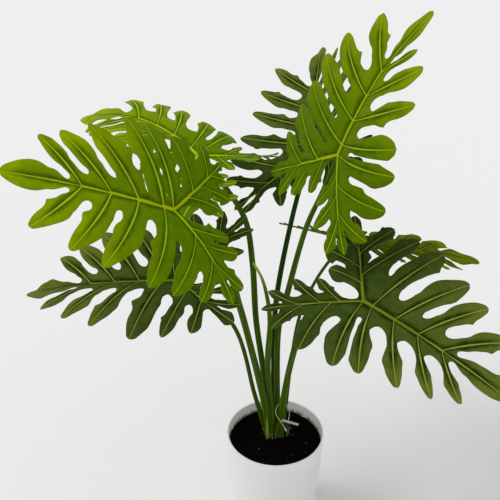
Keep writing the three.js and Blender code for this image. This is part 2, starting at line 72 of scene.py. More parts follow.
class Paint:
    """A material with its main shader, and short ways to add the nodes that feed it."""

    def __init__(self, name, roughness, specular=0.5):
        self.material = bpy.data.materials.new(name)
        self.material.use_nodes = True
        self.tree = self.material.node_tree
        self.shader = self.tree.nodes["Principled BSDF"]
        self.where = self.add("TexCoord", {}, "Object")
        self.feed({"Roughness": roughness, "Specular IOR Level": specular})

    def feed(self, inputs, node=None):
        """Sets inputs of a node, or of the shader, to numbers, colours or the outputs of other nodes."""
        for key, value in inputs.items():
            socket = (node or self.shader).inputs[key]
            if isinstance(value, bpy.types.NodeSocket):
                self.tree.links.new(value, socket)
            else:
                socket.default_value = (*value, 1) if socket.type == "RGBA" else value

    def add(self, kind, inputs, output, **settings):
        """Adds a node of a kind and gives one of its outputs."""
        node = self.tree.nodes.new("ShaderNode" + kind)
        for key, value in settings.items():
            setattr(node, key, value)
        self.feed(inputs, node)
        return node.outputs[output]

    def calc(self, operation, *values):
        return self.add("Math", dict(enumerate(values)), 0, operation=operation)

    def mask(self, value, full, none):
        """Runs smoothly from 1 to 0 as a value goes from one number to another."""
        ends = {"Value": value, "From Min": full, "From Max": none, "To Min": 1, "To Max": 0}
        return self.add("MapRange", ends, "Result", interpolation_type="SMOOTHSTEP")

    def mix(self, factor, one, two):
        return self.add("Mix", {"Factor": factor, "A": one, "B": two}, "Result", data_type="RGBA")

    def cloud(self, scale, detail, where=None):
        spread = {"Vector": where or self.where, "Scale": scale, "Detail": detail}
        return self.add("TexNoise", spread, "Fac")

    def height(self):
        """Height above the floor, in metres."""
        return self.add("SeparateXYZ", {"Vector": self.where}, "Z")

    def ramp(self, factor, *stops):
        """Colours for a factor, from the colours at some of its values."""
        color = self.add("ValToRGB", {"Fac": factor}, "Color")
        elements = color.node.color_ramp.elements
        for _ in stops[2:]:
            elements.new(1)
        for element, (place, shade) in zip(elements, stops):
            element.position = place
            element.color = (*shade, 1)
        return color

    def bump(self, height, strength, distance):
        lifted = {"Height": height, "Strength": strength, "Distance": distance}
        self.feed({"Normal": self.add("Bump", lifted, "Normal")})


def new_piece(name, bm, paints):
    """Makes an object at the origin from a finished bmesh, smooth all over."""
    for face in bm.faces:
        face.smooth = True
    mesh = bpy.data.meshes.new(name)
    bm.to_mesh(mesh)
    bm.free()
    for paint in paints:
        mesh.materials.append(paint.material)
    piece = bpy.data.objects.new(name, mesh)
    scene.collection.objects.link(piece)
    return piece


floor_paint = Paint("floor paint", 0.9, 0)
floor_paint.feed({"Base Color": FLOOR_GREY})
floor_mesh = bmesh.new()
bmesh.ops.create_grid(floor_mesh, x_segments=1, y_segments=1, size=FLOOR_REACH)
floor = new_piece("floor", floor_mesh, [floor_paint])

room = bpy.data.worlds.new("bright room")
room.use_nodes = True
room.node_tree.nodes["Background"].inputs["Color"].default_value = (1, 1, 1, 1)
room.node_tree.nodes["Background"].inputs["Strength"].default_value = ROOM_STRENGTH
scene.world = room
scene.view_settings.view_transform = "Standard"

lamp_data = bpy.data.lights.new("broad light", "SUN")
lamp_data.energy = LIGHT_STRENGTH
lamp_data.angle = math.radians(LIGHT_BREADTH)
lamp = bpy.data.objects.new("broad light", lamp_data)
lamp.rotation_euler = Vector(LIGHT_FROM).to_track_quat("Z", "Y").to_euler()
scene.collection.objects.link(lamp)

# Pot. A plain white moulded pot with a thin rounded rim and slightly leaning sides, closed below. It
# is turned here as one wall, from the middle of its underside up over the rim and down to its floor.
MM = 0.001
POT_HEIGHT = 150
RIM_RADIUS = 65
BASE_RADIUS = 57.5
POT_WALL = 2.4
POT_FLOOR = 4
POT_TURNS = 128
LIP = POT_WALL / 2
LIP_STEPS = 8
MERGE_WITHIN = 0.00001
DARK_BAND_BELOW = 0.1225
PLAIN_ABOVE = 0.1295


def turned(points, steps):
    """Spins a list of (radius, height) points, in millimetres, about the upright axis."""
    bm = bmesh.new()
    verts = [bm.verts.new((radius * MM, 0, height * MM)) for radius, height in points]
    for one, two in zip(verts, verts[1:]):
        bm.edges.new((one, two))
    bmesh.ops.spin(
        bm, geom=bm.verts[:] + bm.edges[:], axis=(0, 0, 1), cent=(0, 0, 0),
        angle=math.tau, steps=steps, use_merge=True,
    )
    bmesh.ops.remove_doubles(bm, verts=bm.verts, dist=MERGE_WITHIN)
    bmesh.ops.recalc_face_normals(bm, faces=bm.faces)
    return bm


def inside_radius(height):
    """Inside radius of the pot at a height."""
    return BASE_RADIUS + (RIM_RADIUS - BASE_RADIUS) * height / POT_HEIGHT - POT_WALL


lip_points = [
    (RIM_RADIUS - LIP + LIP * math.cos(turn), POT_HEIGHT - LIP + LIP * math.sin(turn))
    for turn in [math.pi * k / LIP_STEPS for k in range(LIP_STEPS + 1)]
]
pot_points = [
    (0, 0), (BASE_RADIUS - 8, 0), (BASE_RADIUS - 1.6, 0), (BASE_RADIUS - 0.4, 0.4), (BASE_RADIUS, 1.6),
    (BASE_RADIUS + 0.15, 4), *lip_points,
    (inside_radius(POT_FLOOR + 3), POT_FLOOR + 3), (inside_radius(POT_FLOOR) - 1, POT_FLOOR + 0.6),
    (inside_radius(POT_FLOOR) - 4, POT_FLOOR), (0, POT_FLOOR),
]

glaze = Paint("white pot", 0.34)
flat_place = glaze.add("VectorMath", {0: glaze.where, 1: (1, 1, 0)}, "Vector", operation="MULTIPLY")
pot_radius = glaze.add("VectorMath", {0: flat_place}, "Value", operation="LENGTH")
lean_inward = (BASE_RADIUS - RIM_RADIUS) / POT_HEIGHT
upright_radius = glaze.calc("MULTIPLY_ADD", glaze.height(), lean_inward, pot_radius)
inside_wall = glaze.mask(
    upright_radius, (BASE_RADIUS - POT_WALL * 0.75) * MM, (BASE_RADIUS - POT_WALL * 0.4) * MM,
)
# A darker brown band round the inside wall, from the soil up to a ragged edge a few millimetres above it.
ragged_height = glaze.calc("MULTIPLY_ADD", glaze.cloud(160, 5), -0.02, glaze.height())
dark_band = glaze.calc("MULTIPLY", inside_wall, glaze.mask(ragged_height, DARK_BAND_BELOW, PLAIN_ABOVE))
pot_white = glaze.mix(glaze.cloud(26, 5), (0.80, 0.79, 0.775), (0.86, 0.855, 0.845))
# Painted light: the inside wall is painted paler than the outside, for the light that the deep pot keeps from
# it.
pot_white = glaze.mix(inside_wall, pot_white, (0.97, 0.97, 0.945))
glaze.feed({
    "Base Color": glaze.mix(dark_band, pot_white, (0.22, 0.19, 0.15)),
    "Subsurface Weight": 0.6, "Subsurface Radius": (1, 1, 0.95), "Subsurface Scale": 0.004,
})
glaze.bump(glaze.cloud(700, 2), 0.12, 0.0002)

pot = new_piece("white_pot", turned(pot_points, POT_TURNS), [glaze])
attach(pot, "root")
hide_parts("pot")

# Soil. Fine black potting soil that fills the pot to a low mound a little below the rim. Its surface is
# crumbly, and loose crumbs of every size lie on it.
SOIL_EDGE = 133
SOIL_TOP = 136.5
SOIL_RINGS = 40
SOIL_TURNS = 150
SURFACE_ABOVE = 0.12
CRUMBS = 2300
SMALLEST_CRUMB = 0.5
LARGEST_CRUMB = 2
soil_edge_radius = inside_radius(SOIL_EDGE) - 0.5


def soil_height(x, y):
    """Height of the soil at a place, in millimetres."""
    share = math.hypot(x, y) / soil_edge_radius
    mound = SOIL_EDGE + (SOIL_TOP - SOIL_EDGE) * (1 - min(1, share) ** 2)
    lumps = 1.6 * noise.noise(Vector((x / 17, y / 17, 3))) + 0.9 * noise.noise(Vector((x / 6, y / 6, 8)))
    crumbs = 0.6 * noise.noise(Vector((x / 2.3, y / 2.3, 5)))
    return mound + lumps + crumbs - 0.6


soil_points = [
    (0, POT_FLOOR + 0.5), (inside_radius(POT_FLOOR) - 1.5, POT_FLOOR + 0.5),
    *((soil_edge_radius * (1 - k / SOIL_RINGS), SOIL_EDGE) for k in range(SOIL_RINGS)), (0, SOIL_EDGE),
]
soil_mesh = turned(soil_points, SOIL_TURNS)
for vert in soil_mesh.verts:
    if vert.co.z > SURFACE_ABOVE:
        vert.co.z = soil_height(vert.co.x / MM, vert.co.y / MM) * MM

chance = random.Random(7)
for _ in range(CRUMBS):
    spread = soil_edge_radius * math.sqrt(chance.random()) * 0.985
    around = chance.random() * math.tau
    x, y = spread * math.cos(around), spread * math.sin(around)
    size = SMALLEST_CRUMB + (LARGEST_CRUMB - SMALLEST_CRUMB) * chance.random() ** 3
    z = soil_height(x, y) + 0.3 * size
    turn = Matrix.Rotation(chance.random() * math.tau, 4, Vector((chance.random(), chance.random(), 1)))
    stretch = Matrix.Diagonal((1, 0.6 + 0.4 * chance.random(), 0.5 + 0.4 * chance.random(), 1))
    bmesh.ops.create_icosphere(
        soil_mesh, subdivisions=1, radius=size * MM,
        matrix=Matrix.Translation((x * MM, y * MM, z * MM)) @ turn @ stretch,
    )

black_soil = Paint("black soil", 0.95, 0.03)
soil_patches = black_soil.cloud(330, 4)
soil_shades = black_soil.ramp(
    soil_patches, (0.35, (0.0012, 0.001, 0.0008)), (0.75, (0.0075, 0.006, 0.0045)),
)
black_soil.feed({"Base Color": soil_shades})
black_soil.bump(soil_patches, 0.8, 0.0006)

soil = new_piece("potting_soil", soil_mesh, [black_soil])
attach(soil, "root")
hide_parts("soil")

# Leaf blades. Each blade is one deeply cut leaf: a main rib, two ribs that run back from the stalk, and
# a finger-like lobe round each side vein. All are cut to one pattern, laid out flat here in millimetres
# with the main rib along +Y, and each is then bent and turned to its place on its stalk.
MAIN_RIB = 200
BASAL_RIB = 80
BASAL_HEADING = 134
END_LOBE = 42
LAST_VEIN = 109
NOTCH = Vector((0, -9))
LOBE_GAP = 4.2
LOBE_OVERLAP = -1.2
VEIN_BOW = 7
BLADE = 0.7
RIB_DEPTH = 3.4
STATION_STEP = 4
VEIN_STEPS = 8
VEIN_SAMPLES = 16
FINGER_STEPS = 22
RIDGE_ROWS = 2
ACROSS = [0.22, 0.46, 0.7, 0.88, 1.0]
LEAF_MAPS = ("vein", "reach", "place")
MAP_UNIT = 100
WIDTH_UNIT = 10
JOIN_WITHIN = 0.00002

# Half width of a rib's ridge at its start, then farther out and how far out that is.
RIB_WIDTHS = {"main": (2.9, 1.7, LAST_VEIN), "basal": (2.6, 1.3, BASAL_RIB)}

# How far a rib stands out below the blade at its start, and where it has thinned to the least depth.
RIB_DEPTHS = {"main": (RIB_DEPTH, MAIN_RIB), "basal": (2.6, BASAL_RIB + END_LOBE)}
LEAST_DEPTH = 0.55
SUNK_DEPTH = 0.35
LARGE_VEIN = 1.7
SMALL_VEIN = 1.3
VEIN_DEPTH = 1.1
VEIN_END = (0.45, 0.1)

# Each shape gives a lobe's greatest half widths toward the leaf's tip and toward the stalk, as shares of
# its length.
SHAPES = {"left": (0.145, 0.18), "right": (0.12, 0.15), "tip": (0.18, 0.17), "small": (0.14, 0.16)}
NECK_AT = 0.4
NECK_PAST_GAP = 0.12
CROWDED_NECK_AT = 0.2

# How a half lobe's margin runs past its neck: shares of the lobe's length, each with the half width
# there as a share of the widest one.
OUTLINES = {
    "even": [
        (0.42, 0.72), (0.55, 0.93), (0.68, 1), (0.8, 0.88), (0.9, 0.62), (0.96, 0.4), (0.985, 0.25), (1, 0),
    ],
    "tooth": [
        (0.42, 0.78), (0.5, 1), (0.56, 1.2), (0.6, 0.96), (0.67, 0.8), (0.77, 0.77), (0.87, 0.64),
        (0.95, 0.42), (0.985, 0.25), (1, 0),
    ],
    "late tooth": [
        (0.42, 0.72), (0.55, 0.82), (0.66, 0.93), (0.73, 1.16), (0.77, 0.93), (0.85, 0.76), (0.92, 0.55),
        (0.97, 0.36), (0.985, 0.25), (1, 0),
    ],
    "waist": [
        (0.42, 0.55), (0.53, 0.78), (0.64, 1.06), (0.72, 0.93), (0.82, 0.8), (0.9, 0.6), (0.96, 0.4),
        (0.985, 0.25), (1, 0),
    ],
    "broad": [
        (0.42, 1.3), (0.55, 1.18), (0.68, 0.98), (0.8, 0.74), (0.9, 0.48), (0.96, 0.31),
        (0.985, 0.19), (1, 0),
    ],
    "taper": [
        (0.42, 0.95), (0.52, 1.08), (0.6, 1.02), (0.72, 0.8), (0.84, 0.57), (0.93, 0.37),
        (0.985, 0.2), (1, 0),
    ],
    "cornered": [
        (0.42, 0.6), (0.55, 0.68), (0.67, 0.82), (0.77, 1.05), (0.82, 1.14), (0.85, 0.9), (0.91, 0.74),
        (0.96, 0.52), (0.985, 0.36), (1, 0),
    ],
    "flared": [
        (0.42, 0.7), (0.55, 0.78), (0.7, 0.92), (0.82, 1.02), (0.9, 0.86), (0.96, 0.6), (0.985, 0.38), (1, 0),
    ],
}

# Lobe: its name, how far along its rib it leaves, its heading from the main rib, its length and its
# vein's bow. The small lobes stand on the basal ribs, alike on both sides.
SMALL_LOBES = [
    ("inner 1", 26, 186, 47, -VEIN_BOW), ("inner 2", 48, 182, 52, -VEIN_BOW),
    ("inner 3", 74, 166, 46, -VEIN_BOW), ("end", 80, 134, END_LOBE, 0),
    ("outer 2", 68, 92, 52, VEIN_BOW), ("outer 1", 36, 76, 75, VEIN_BOW),
]
SIDE_LOBES = {
    "left": [
        ("side 1", 13, 75, 100, VEIN_BOW), ("side 2", 45, 65, 92, VEIN_BOW),
        ("side 3", 77, 58, 84, VEIN_BOW), ("side 4", LAST_VEIN, 46, 73, VEIN_BOW),
    ],
    "right": [
        ("side 0", 0, 70, 101, VEIN_BOW), ("side 1", 13, 60, 95, VEIN_BOW),
        ("side 2", 45, 50, 93, VEIN_BOW), ("side 3", 77, 44, 80, VEIN_BOW),
        ("side 4", LAST_VEIN, 41, 66, VEIN_BOW),
    ],
}
TIP_LOBE = ("tip", LAST_VEIN, 0, MAIN_RIB - LAST_VEIN, 0)

# How far along its vein the gap beside a lobe reaches in, where the leaf's webs don't say otherwise.
GAP_SHARES = {"left": 0.25, "right": 0.25, "tip": 0.2, "small": 0.32}


def heading_on_leaf(heading, side):
    """The direction on the flat leaf at a heading from the main rib, on the right (1) or left (-1)."""
    return Vector((side * math.sin(math.radians(heading)), math.cos(math.radians(heading))))


def ease(share):
    """Goes smoothly from 0 to 1."""
    share = max(0, min(1, share))
    return share * share * (3 - 2 * share)


def blend_number(one, two, share):
    return one + (two - one) * share


def curve_between(one, two, lead, tail, t):
    """A point of a smooth curve between two points, from its slopes at them."""
    return (
        one * (2 * t ** 3 - 3 * t ** 2 + 1) + lead * (t ** 3 - 2 * t ** 2 + t)
        + two * (3 * t ** 2 - 2 * t ** 3) + tail * (t ** 3 - t ** 2)
    )


class Lobe:
    """One lobe of the flat leaf: its vein, from the rib to its tip, and its outline on either side."""

    def __init__(self, spec, kind, side, leaf, chance):
        self.name, self.at, heading, length, bow = spec
        self.side = side
        self.small = kind == "small"
        self.rib = "basal" if self.small else "main"
        half = "left" if side < 0 else "right"
        self.key = self.name if kind == "tip" else half + " " + self.name
        longer, turned_by = leaf["grown"].get(self.key, (1, 0))
        self.length = length = length * longer
        heading += turned_by
        habit = leaf["habit"][kind]
        if self.small:
            habit = (chance.choice(["even", "waist", "late tooth"]), chance.choice(["even", "tooth"]), habit)
            half = "small " + half
        webs = leaf.get("webs", {})
        self.gap_share = webs.get(half, GAP_SHARES[kind])
        self.neck_at = max(NECK_AT, self.gap_share + NECK_PAST_GAP)
        self.notch_neck_at = webs.get("notch", NECK_AT)
        tipward, stalkward, fullness = leaf.get("margins", {}).get(self.key, habit)
        self.margins = {
            True: (OUTLINES[tipward], SHAPES[kind][0] * fullness),
            False: (OUTLINES[stalkward], SHAPES[kind][1] * fullness),
        }
        self.holes = leaf.get("gaps", {})
        self.start = on_rib(self.rib, side, self.at)
        self.tip = self.start + heading_on_leaf(heading, side) * length
        self.steer = self.start + heading_on_leaf(heading + bow, side) * length / 2
        self.droop = chance.uniform(-0.4, 1.6)
        self.phase = chance.uniform(0, math.tau)
        self.shift = {turn: chance.uniform(-0.03, 0.03) for turn in (-1, 1)}

    def vein(self, share):
        left = 1 - share
        return self.start * left * left + self.steer * 2 * left * share + self.tip * share * share

    def vein_heading(self, share):
        along = (self.steer - self.start) * (1 - share) + (self.tip - self.steer) * share
        return along.normalized()

    def half_width(self, share, turn):
        """The lobe's half width at a share of its length. `turn` is 1 or -1, for its two sides."""
        outline, widest = self.margins[(turn > 0) == (self.side < 0)]
        share += self.shift[turn] * math.sin(math.pi * max(0, share - self.neck_at) / (1 - self.neck_at))
        return smooth_value(outline, share) * widest * self.length

    def holes_beside(self, neighbour):
        """The small holes left between the lobe and a crowded neighbour, or None."""
        return self.holes.get(self.key + ", " + neighbour.key)


def smooth_value(points, at):
    """Reads a smooth curve through (place, value) points."""
    if at <= points[0][0]:
        return points[0][1]
    for k in range(len(points) - 1):
        (x1, y1), (x2, y2) = points[k], points[k + 1]
        if at <= x2:
            (x0, y0), (x3, y3) = points[max(0, k - 1)], points[min(len(points) - 1, k + 2)]
            lead = (y2 - y0) / (x2 - x0) * (x2 - x1) if k > 0 else 0
            tail = (y3 - y1) / (x3 - x1) * (x2 - x1)
            return max(0, curve_between(y1, y2, lead, tail, (at - x1) / (x2 - x1)))
    return 0


def on_rib(rib, side, at):
    """A point of the flat leaf that far along a rib."""
    if rib == "main":
        return Vector((0, at))
    return heading_on_leaf(BASAL_HEADING, side) * at


def rib_stations(lobes):
    """Places along a rib that its two sides share: each vein's start, and steps between them."""
    starts = sorted({0, *(spec[1] for spec in lobes)})
    places = []
    for one, two in zip(starts, starts[1:]):
        steps = max(1, round((two - one) / STATION_STEP))
        places += [one + (two - one) * k / steps for k in range(steps)]
    return [*places, starts[-1]]


STATIONS = {
    "main": rib_stations(SIDE_LOBES["left"] + SIDE_LOBES["right"]), "basal": rib_stations(SMALL_LOBES),
}


def way_between(one, two):
    """The rib places from one lobe's start to the next one's, as (rib, side, at)."""
    if one.at == two.at and one.rib == two.rib:
        return [(one.rib, one.side, one.at)]
    if one.rib == two.rib and (one.rib == "main" or one.side == two.side):
        low, high = sorted((one.at, two.at))
        way = [(one.rib, one.side, at) for at in STATIONS[one.rib] if low <= at <= high]
        return way if one.at < two.at else way[::-1]
    down = [(one.rib, one.side, at) for at in STATIONS[one.rib] if at <= one.at][::-1]
    up = [(two.rib, two.side, at) for at in STATIONS[two.rib] if 0 < at <= two.at]
    return down + up


def rib_width(rib, at):
    """Half width of a rib's ridge, in millimetres. The ribs meet in one width."""
    wide, narrow, reach = RIB_WIDTHS["main" if at == 0 else rib]
    return blend_number(wide, narrow, at / reach)


def rib_depth(rib, at):
    """How far a rib stands out below the blade, in millimetres. The ribs meet in one depth."""
    deep, reach = RIB_DEPTHS["main" if at == 0 else rib]
    return blend_number(deep, LEAST_DEPTH, at / reach) - SUNK_DEPTH


def room_toward(point, normal, other):
    """How far a ray from a point on one vein runs before it meets the next lobe's vein."""
    room = math.inf
    samples = [other.vein(k / VEIN_SAMPLES) for k in range(VEIN_SAMPLES + 1)]
    for one, two in zip(samples, samples[1:]):
        edge = two - one
        offset = one - point
        cross = normal.x * edge.y - normal.y * edge.x
        if cross == 0:
            continue
        along = (offset.x * edge.y - offset.y * edge.x) / cross
        share = (offset.x * normal.y - offset.y * normal.x) / cross
        if along > 0 and 0 <= share <= 1:
            room = min(room, along)
    return room


def gap_width(lobe, neighbour, share):
    """Clear width beside a lobe. Crowded lobes lap over each other and leave small holes between."""
    holes = lobe.holes_beside(neighbour)
    if not holes:
        return LOBE_GAP
    for first, last, width in holes:
        if first < share < last:
            along_hole = (share - first) / (last - first)
            return blend_number(LOBE_OVERLAP, width, math.sin(math.pi * along_hole) ** 0.5)
    return LOBE_OVERLAP


def finger_edge(lobe, neighbour, share, turn):
    """The lobe's margin at a share of its vein, kept clear of the next lobe."""
    point = lobe.vein(share)
    heading = lobe.vein_heading(share)
    normal = Vector((heading.y, -heading.x)) * turn
    width = lobe.half_width(share, turn)
    if neighbour:
        width = min(width, (room_toward(point, normal, neighbour) - gap_width(lobe, neighbour, share)) / 2)
    elif lobe.small:
        width = min(width, abs(point.x) - LOBE_GAP / 2)
    return point + normal * max(0, width)


def half_lobe_rungs(lobe, neighbour, way, bottom, turn):
    """Rungs from the rib and the vein out to the margin, from the gap beside a lobe to its tip.

    A rung is (point on rib or vein, point on margin, ridge half width, ridge depth, way along, share).
    """
    crowded = neighbour and lobe.holes_beside(neighbour)
    neck_at = CROWDED_NECK_AT if crowded else lobe.neck_at if neighbour else lobe.notch_neck_at
    width = SMALL_VEIN if lobe.small else LARGE_VEIN
    depth = rib_depth("main", LAST_VEIN) if lobe.name == "tip" else VEIN_DEPTH

    def on_vein(share):
        size = (blend_number(start, end, share) for start, end in zip((width, depth), VEIN_END))
        return lobe.vein(share), *size, share

    inner = [(on_rib(rib, side, at), rib_width(rib, at), rib_depth(rib, at), 0) for rib, side, at in way]
    inner += [on_vein(neck_at * k / VEIN_STEPS) for k in range(1, VEIN_STEPS + 1)]
    ways = [0]
    for (one, *_), (two, *_) in zip(inner, inner[1:]):
        ways.append(ways[-1] + (two - one).length)
    start_way = ways[len(way) - 1]
    neck = finger_edge(lobe, neighbour, neck_at, turn)
    outward = (lobe.vein(lobe.gap_share) - bottom).normalized() if neighbour else Vector((lobe.side, 0))
    pull = (neck - bottom).length
    rungs = []
    for (point, *size, share), along in zip(inner, ways):
        margin = curve_between(
            bottom, neck, outward * pull, lobe.vein_heading(neck_at) * pull, along / ways[-1],
        )
        rungs.append((point, margin, *size, along - start_way, share))
    for k in range(1, FINGER_STEPS + 1):
        share = neck_at + (1 - neck_at) * math.sin(k / FINGER_STEPS * math.pi / 2)
        point, *size, _ = on_vein(share)
        margin = lobe.tip if k == FINGER_STEPS else finger_edge(lobe, neighbour, share, turn)
        rungs.append((point, margin, *size, ways[-1] - start_way + (share - neck_at) * lobe.length, share))
    return rungs


def bent(angle, length, bend):
    """Run along and rise above the start of an arc that starts at an angle and bends down."""
    if bend == 0:
        return length * math.cos(angle), length * math.sin(angle), angle
    end = angle - bend * length
    return (math.sin(angle) - math.sin(end)) / bend, (math.cos(end) - math.cos(angle)) / bend, end


def leaf_placer(leaf):
    """A function that puts a point of the flat leaf, and a height above it, in its place."""
    size = leaf["size"]
    heading, pitch, roll = (math.radians(leaf[key]) for key in ("heading", "pitch", "roll"))
    bends = {key: math.radians(value) for key, value in leaf["bend"].items()}
    length = MAIN_RIB * size
    forward = Vector((
        math.cos(pitch) * math.cos(heading), math.cos(pitch) * math.sin(heading), math.sin(pitch),
    ))
    side = Vector((math.sin(heading), -math.cos(heading), 0))
    upright = side.cross(forward)
    right = side * math.cos(roll) - upright * math.sin(roll)
    normal = right.cross(forward)
    join = Vector(leaf["join"])

    def place(flat_x, flat_y, up):
        x, y = flat_x * size, flat_y * size
        ahead = y >= 0
        bend = bends["rib"] / length if ahead else bends["basal"] / (length / 2)
        run, rise, end = bent(0, abs(y), bend)
        tilt = end if ahead else -end
        half = "right" if x >= 0 else "left"
        across, lift, _ = bent(bends["fold_" + half], abs(x), bends["arch_" + half] / (length / 2))
        twist = math.radians(leaf.get("twist", 0)) * y / length
        sideways, height = math.copysign(across, x), lift + up
        across = sideways * math.cos(twist) + height * math.sin(twist)
        lift = height * math.cos(twist) - sideways * math.sin(twist)
        spot = (
            right * across
            + forward * ((run if ahead else -run) - lift * math.sin(tilt))
            + normal * (rise + lift * math.cos(tilt))
        )
        return (join + spot) * MM

    return place


def lobes_in_order(leaf, chance):
    """All lobes round the margin, from the stalk's notch up the left side and down the right."""
    halves = []
    for half, side in (("left", -1), ("right", 1)):
        small = [Lobe(spec, "small", side, leaf, chance) for spec in SMALL_LOBES]
        halves.append(small + [Lobe(spec, half, side, leaf, chance) for spec in SIDE_LOBES[half]])
    left, right = halves
    return [*left, Lobe(TIP_LOBE, "tip", 1, leaf, chance), *right[::-1]]


def add_half_lobe(bm, layers, rungs, lobe, turn, place):
    """Adds one half lobe to the blade as a grid, from the rib and vein out to the margin."""
    vein_map, reach_map, place_map, weights = layers
    steps = len(rungs) - 1
    rows = len(ACROSS) + RIDGE_ROWS
    made = bmesh.ops.create_grid(bm, x_segments=steps, y_segments=rows, size=0.5)["verts"]
    facts = {}
    for vert in made:
        row = round((vert.co.y + 0.5) * rows)
        inner, margin, width, depth, along, share = rungs[round((vert.co.x + 0.5) * steps)]
        reach = (margin - inner).length
        ridge = min(1.4 * width, reach * 0.3)
        if row <= RIDGE_ROWS:
            off = ridge * row / RIDGE_ROWS
        else:
            off = ridge + (reach - ridge) * ACROSS[row - RIDGE_ROWS - 1]
        flat = inner if reach == 0 else inner + (margin - inner) * (off / reach)
        hump = max(0, 1 - (off / ridge) ** 2) if ridge > 0 else 1
        out = off / reach if reach > 0 else 1
        crown = 0.55 * math.sin(math.pi * out) * min(1, reach / 12)
        wave = 0.7 * ease(share * 2.2) * out * out * math.sin(along / 4.6 + lobe.phase + turn)
        droop = -lobe.droop * ease(share) * share
        vert.co = place(flat.x, flat.y, BLADE / 2 - 0.3 * hump * min(1, width) + crown + wave + droop)
        facts[vert] = (along, off, width, reach - off, flat)
        vert[weights][0] = (BLADE + depth * hump) / (RIB_DEPTH + BLADE)
    faces = {face for vert in made for face in vert.link_faces}
    for face in faces:
        for loop in face.loops:
            along, off, width, left, flat = facts[loop.vert]
            loop[vein_map].uv = (along / MAP_UNIT, off / MAP_UNIT)
            loop[reach_map].uv = (width / WIDTH_UNIT, left / MAP_UNIT)
            loop[place_map].uv = flat / MAIN_RIB
    one, two = rungs[len(rungs) // 2], rungs[len(rungs) // 2 + 1]
    ahead, out = two[0] - one[0], one[1] - one[0]
    if ahead.x * out.y - ahead.y * out.x < 0:
        bmesh.ops.reverse_faces(bm, faces=list(faces))


def blade_mesh(leaf):
    """The blade's upper surface in its place, with its maps and the thickness below each point."""
    chance = random.Random(leaf["name"])
    lobes = lobes_in_order(leaf, chance)
    place = leaf_placer(leaf)
    bm = bmesh.new()
    layers = (*(bm.loops.layers.uv.new(name) for name in LEAF_MAPS), bm.verts.layers.deform.new("weights"))
    for k, lobe in enumerate(lobes):
        for turn in (-1, 1):
            other = lobes[k + turn] if 0 <= k + turn < len(lobes) else None
            if other:
                way = way_between(lobe, other)
                way = way[: len(way) // 2 + 1] if turn > 0 else way[: len(way) - len(way) // 2]
                reach_in = 0.5 if lobe.holes_beside(other) else 1
                bottom = (lobe.vein(lobe.gap_share * reach_in) + other.vein(other.gap_share * reach_in)) / 2
            else:
                way = [(lobe.rib, lobe.side, at) for at in STATIONS[lobe.rib] if at <= lobe.at][::-1]
                bottom = NOTCH
            rungs = half_lobe_rungs(lobe, other, way[::-1], bottom, turn)
            add_half_lobe(bm, layers, rungs, lobe, turn, place)
    bmesh.ops.remove_doubles(bm, verts=bm.verts, dist=JOIN_WITHIN)
    return bm


FEATHER_SPACING = 3.2
FEATHERING = {"width": 1.2, "strength": 0.36, "furrow": 0.25}
FAINT_FEATHERING = {"width": 1.1, "strength": 0.2, "furrow": 0.15}


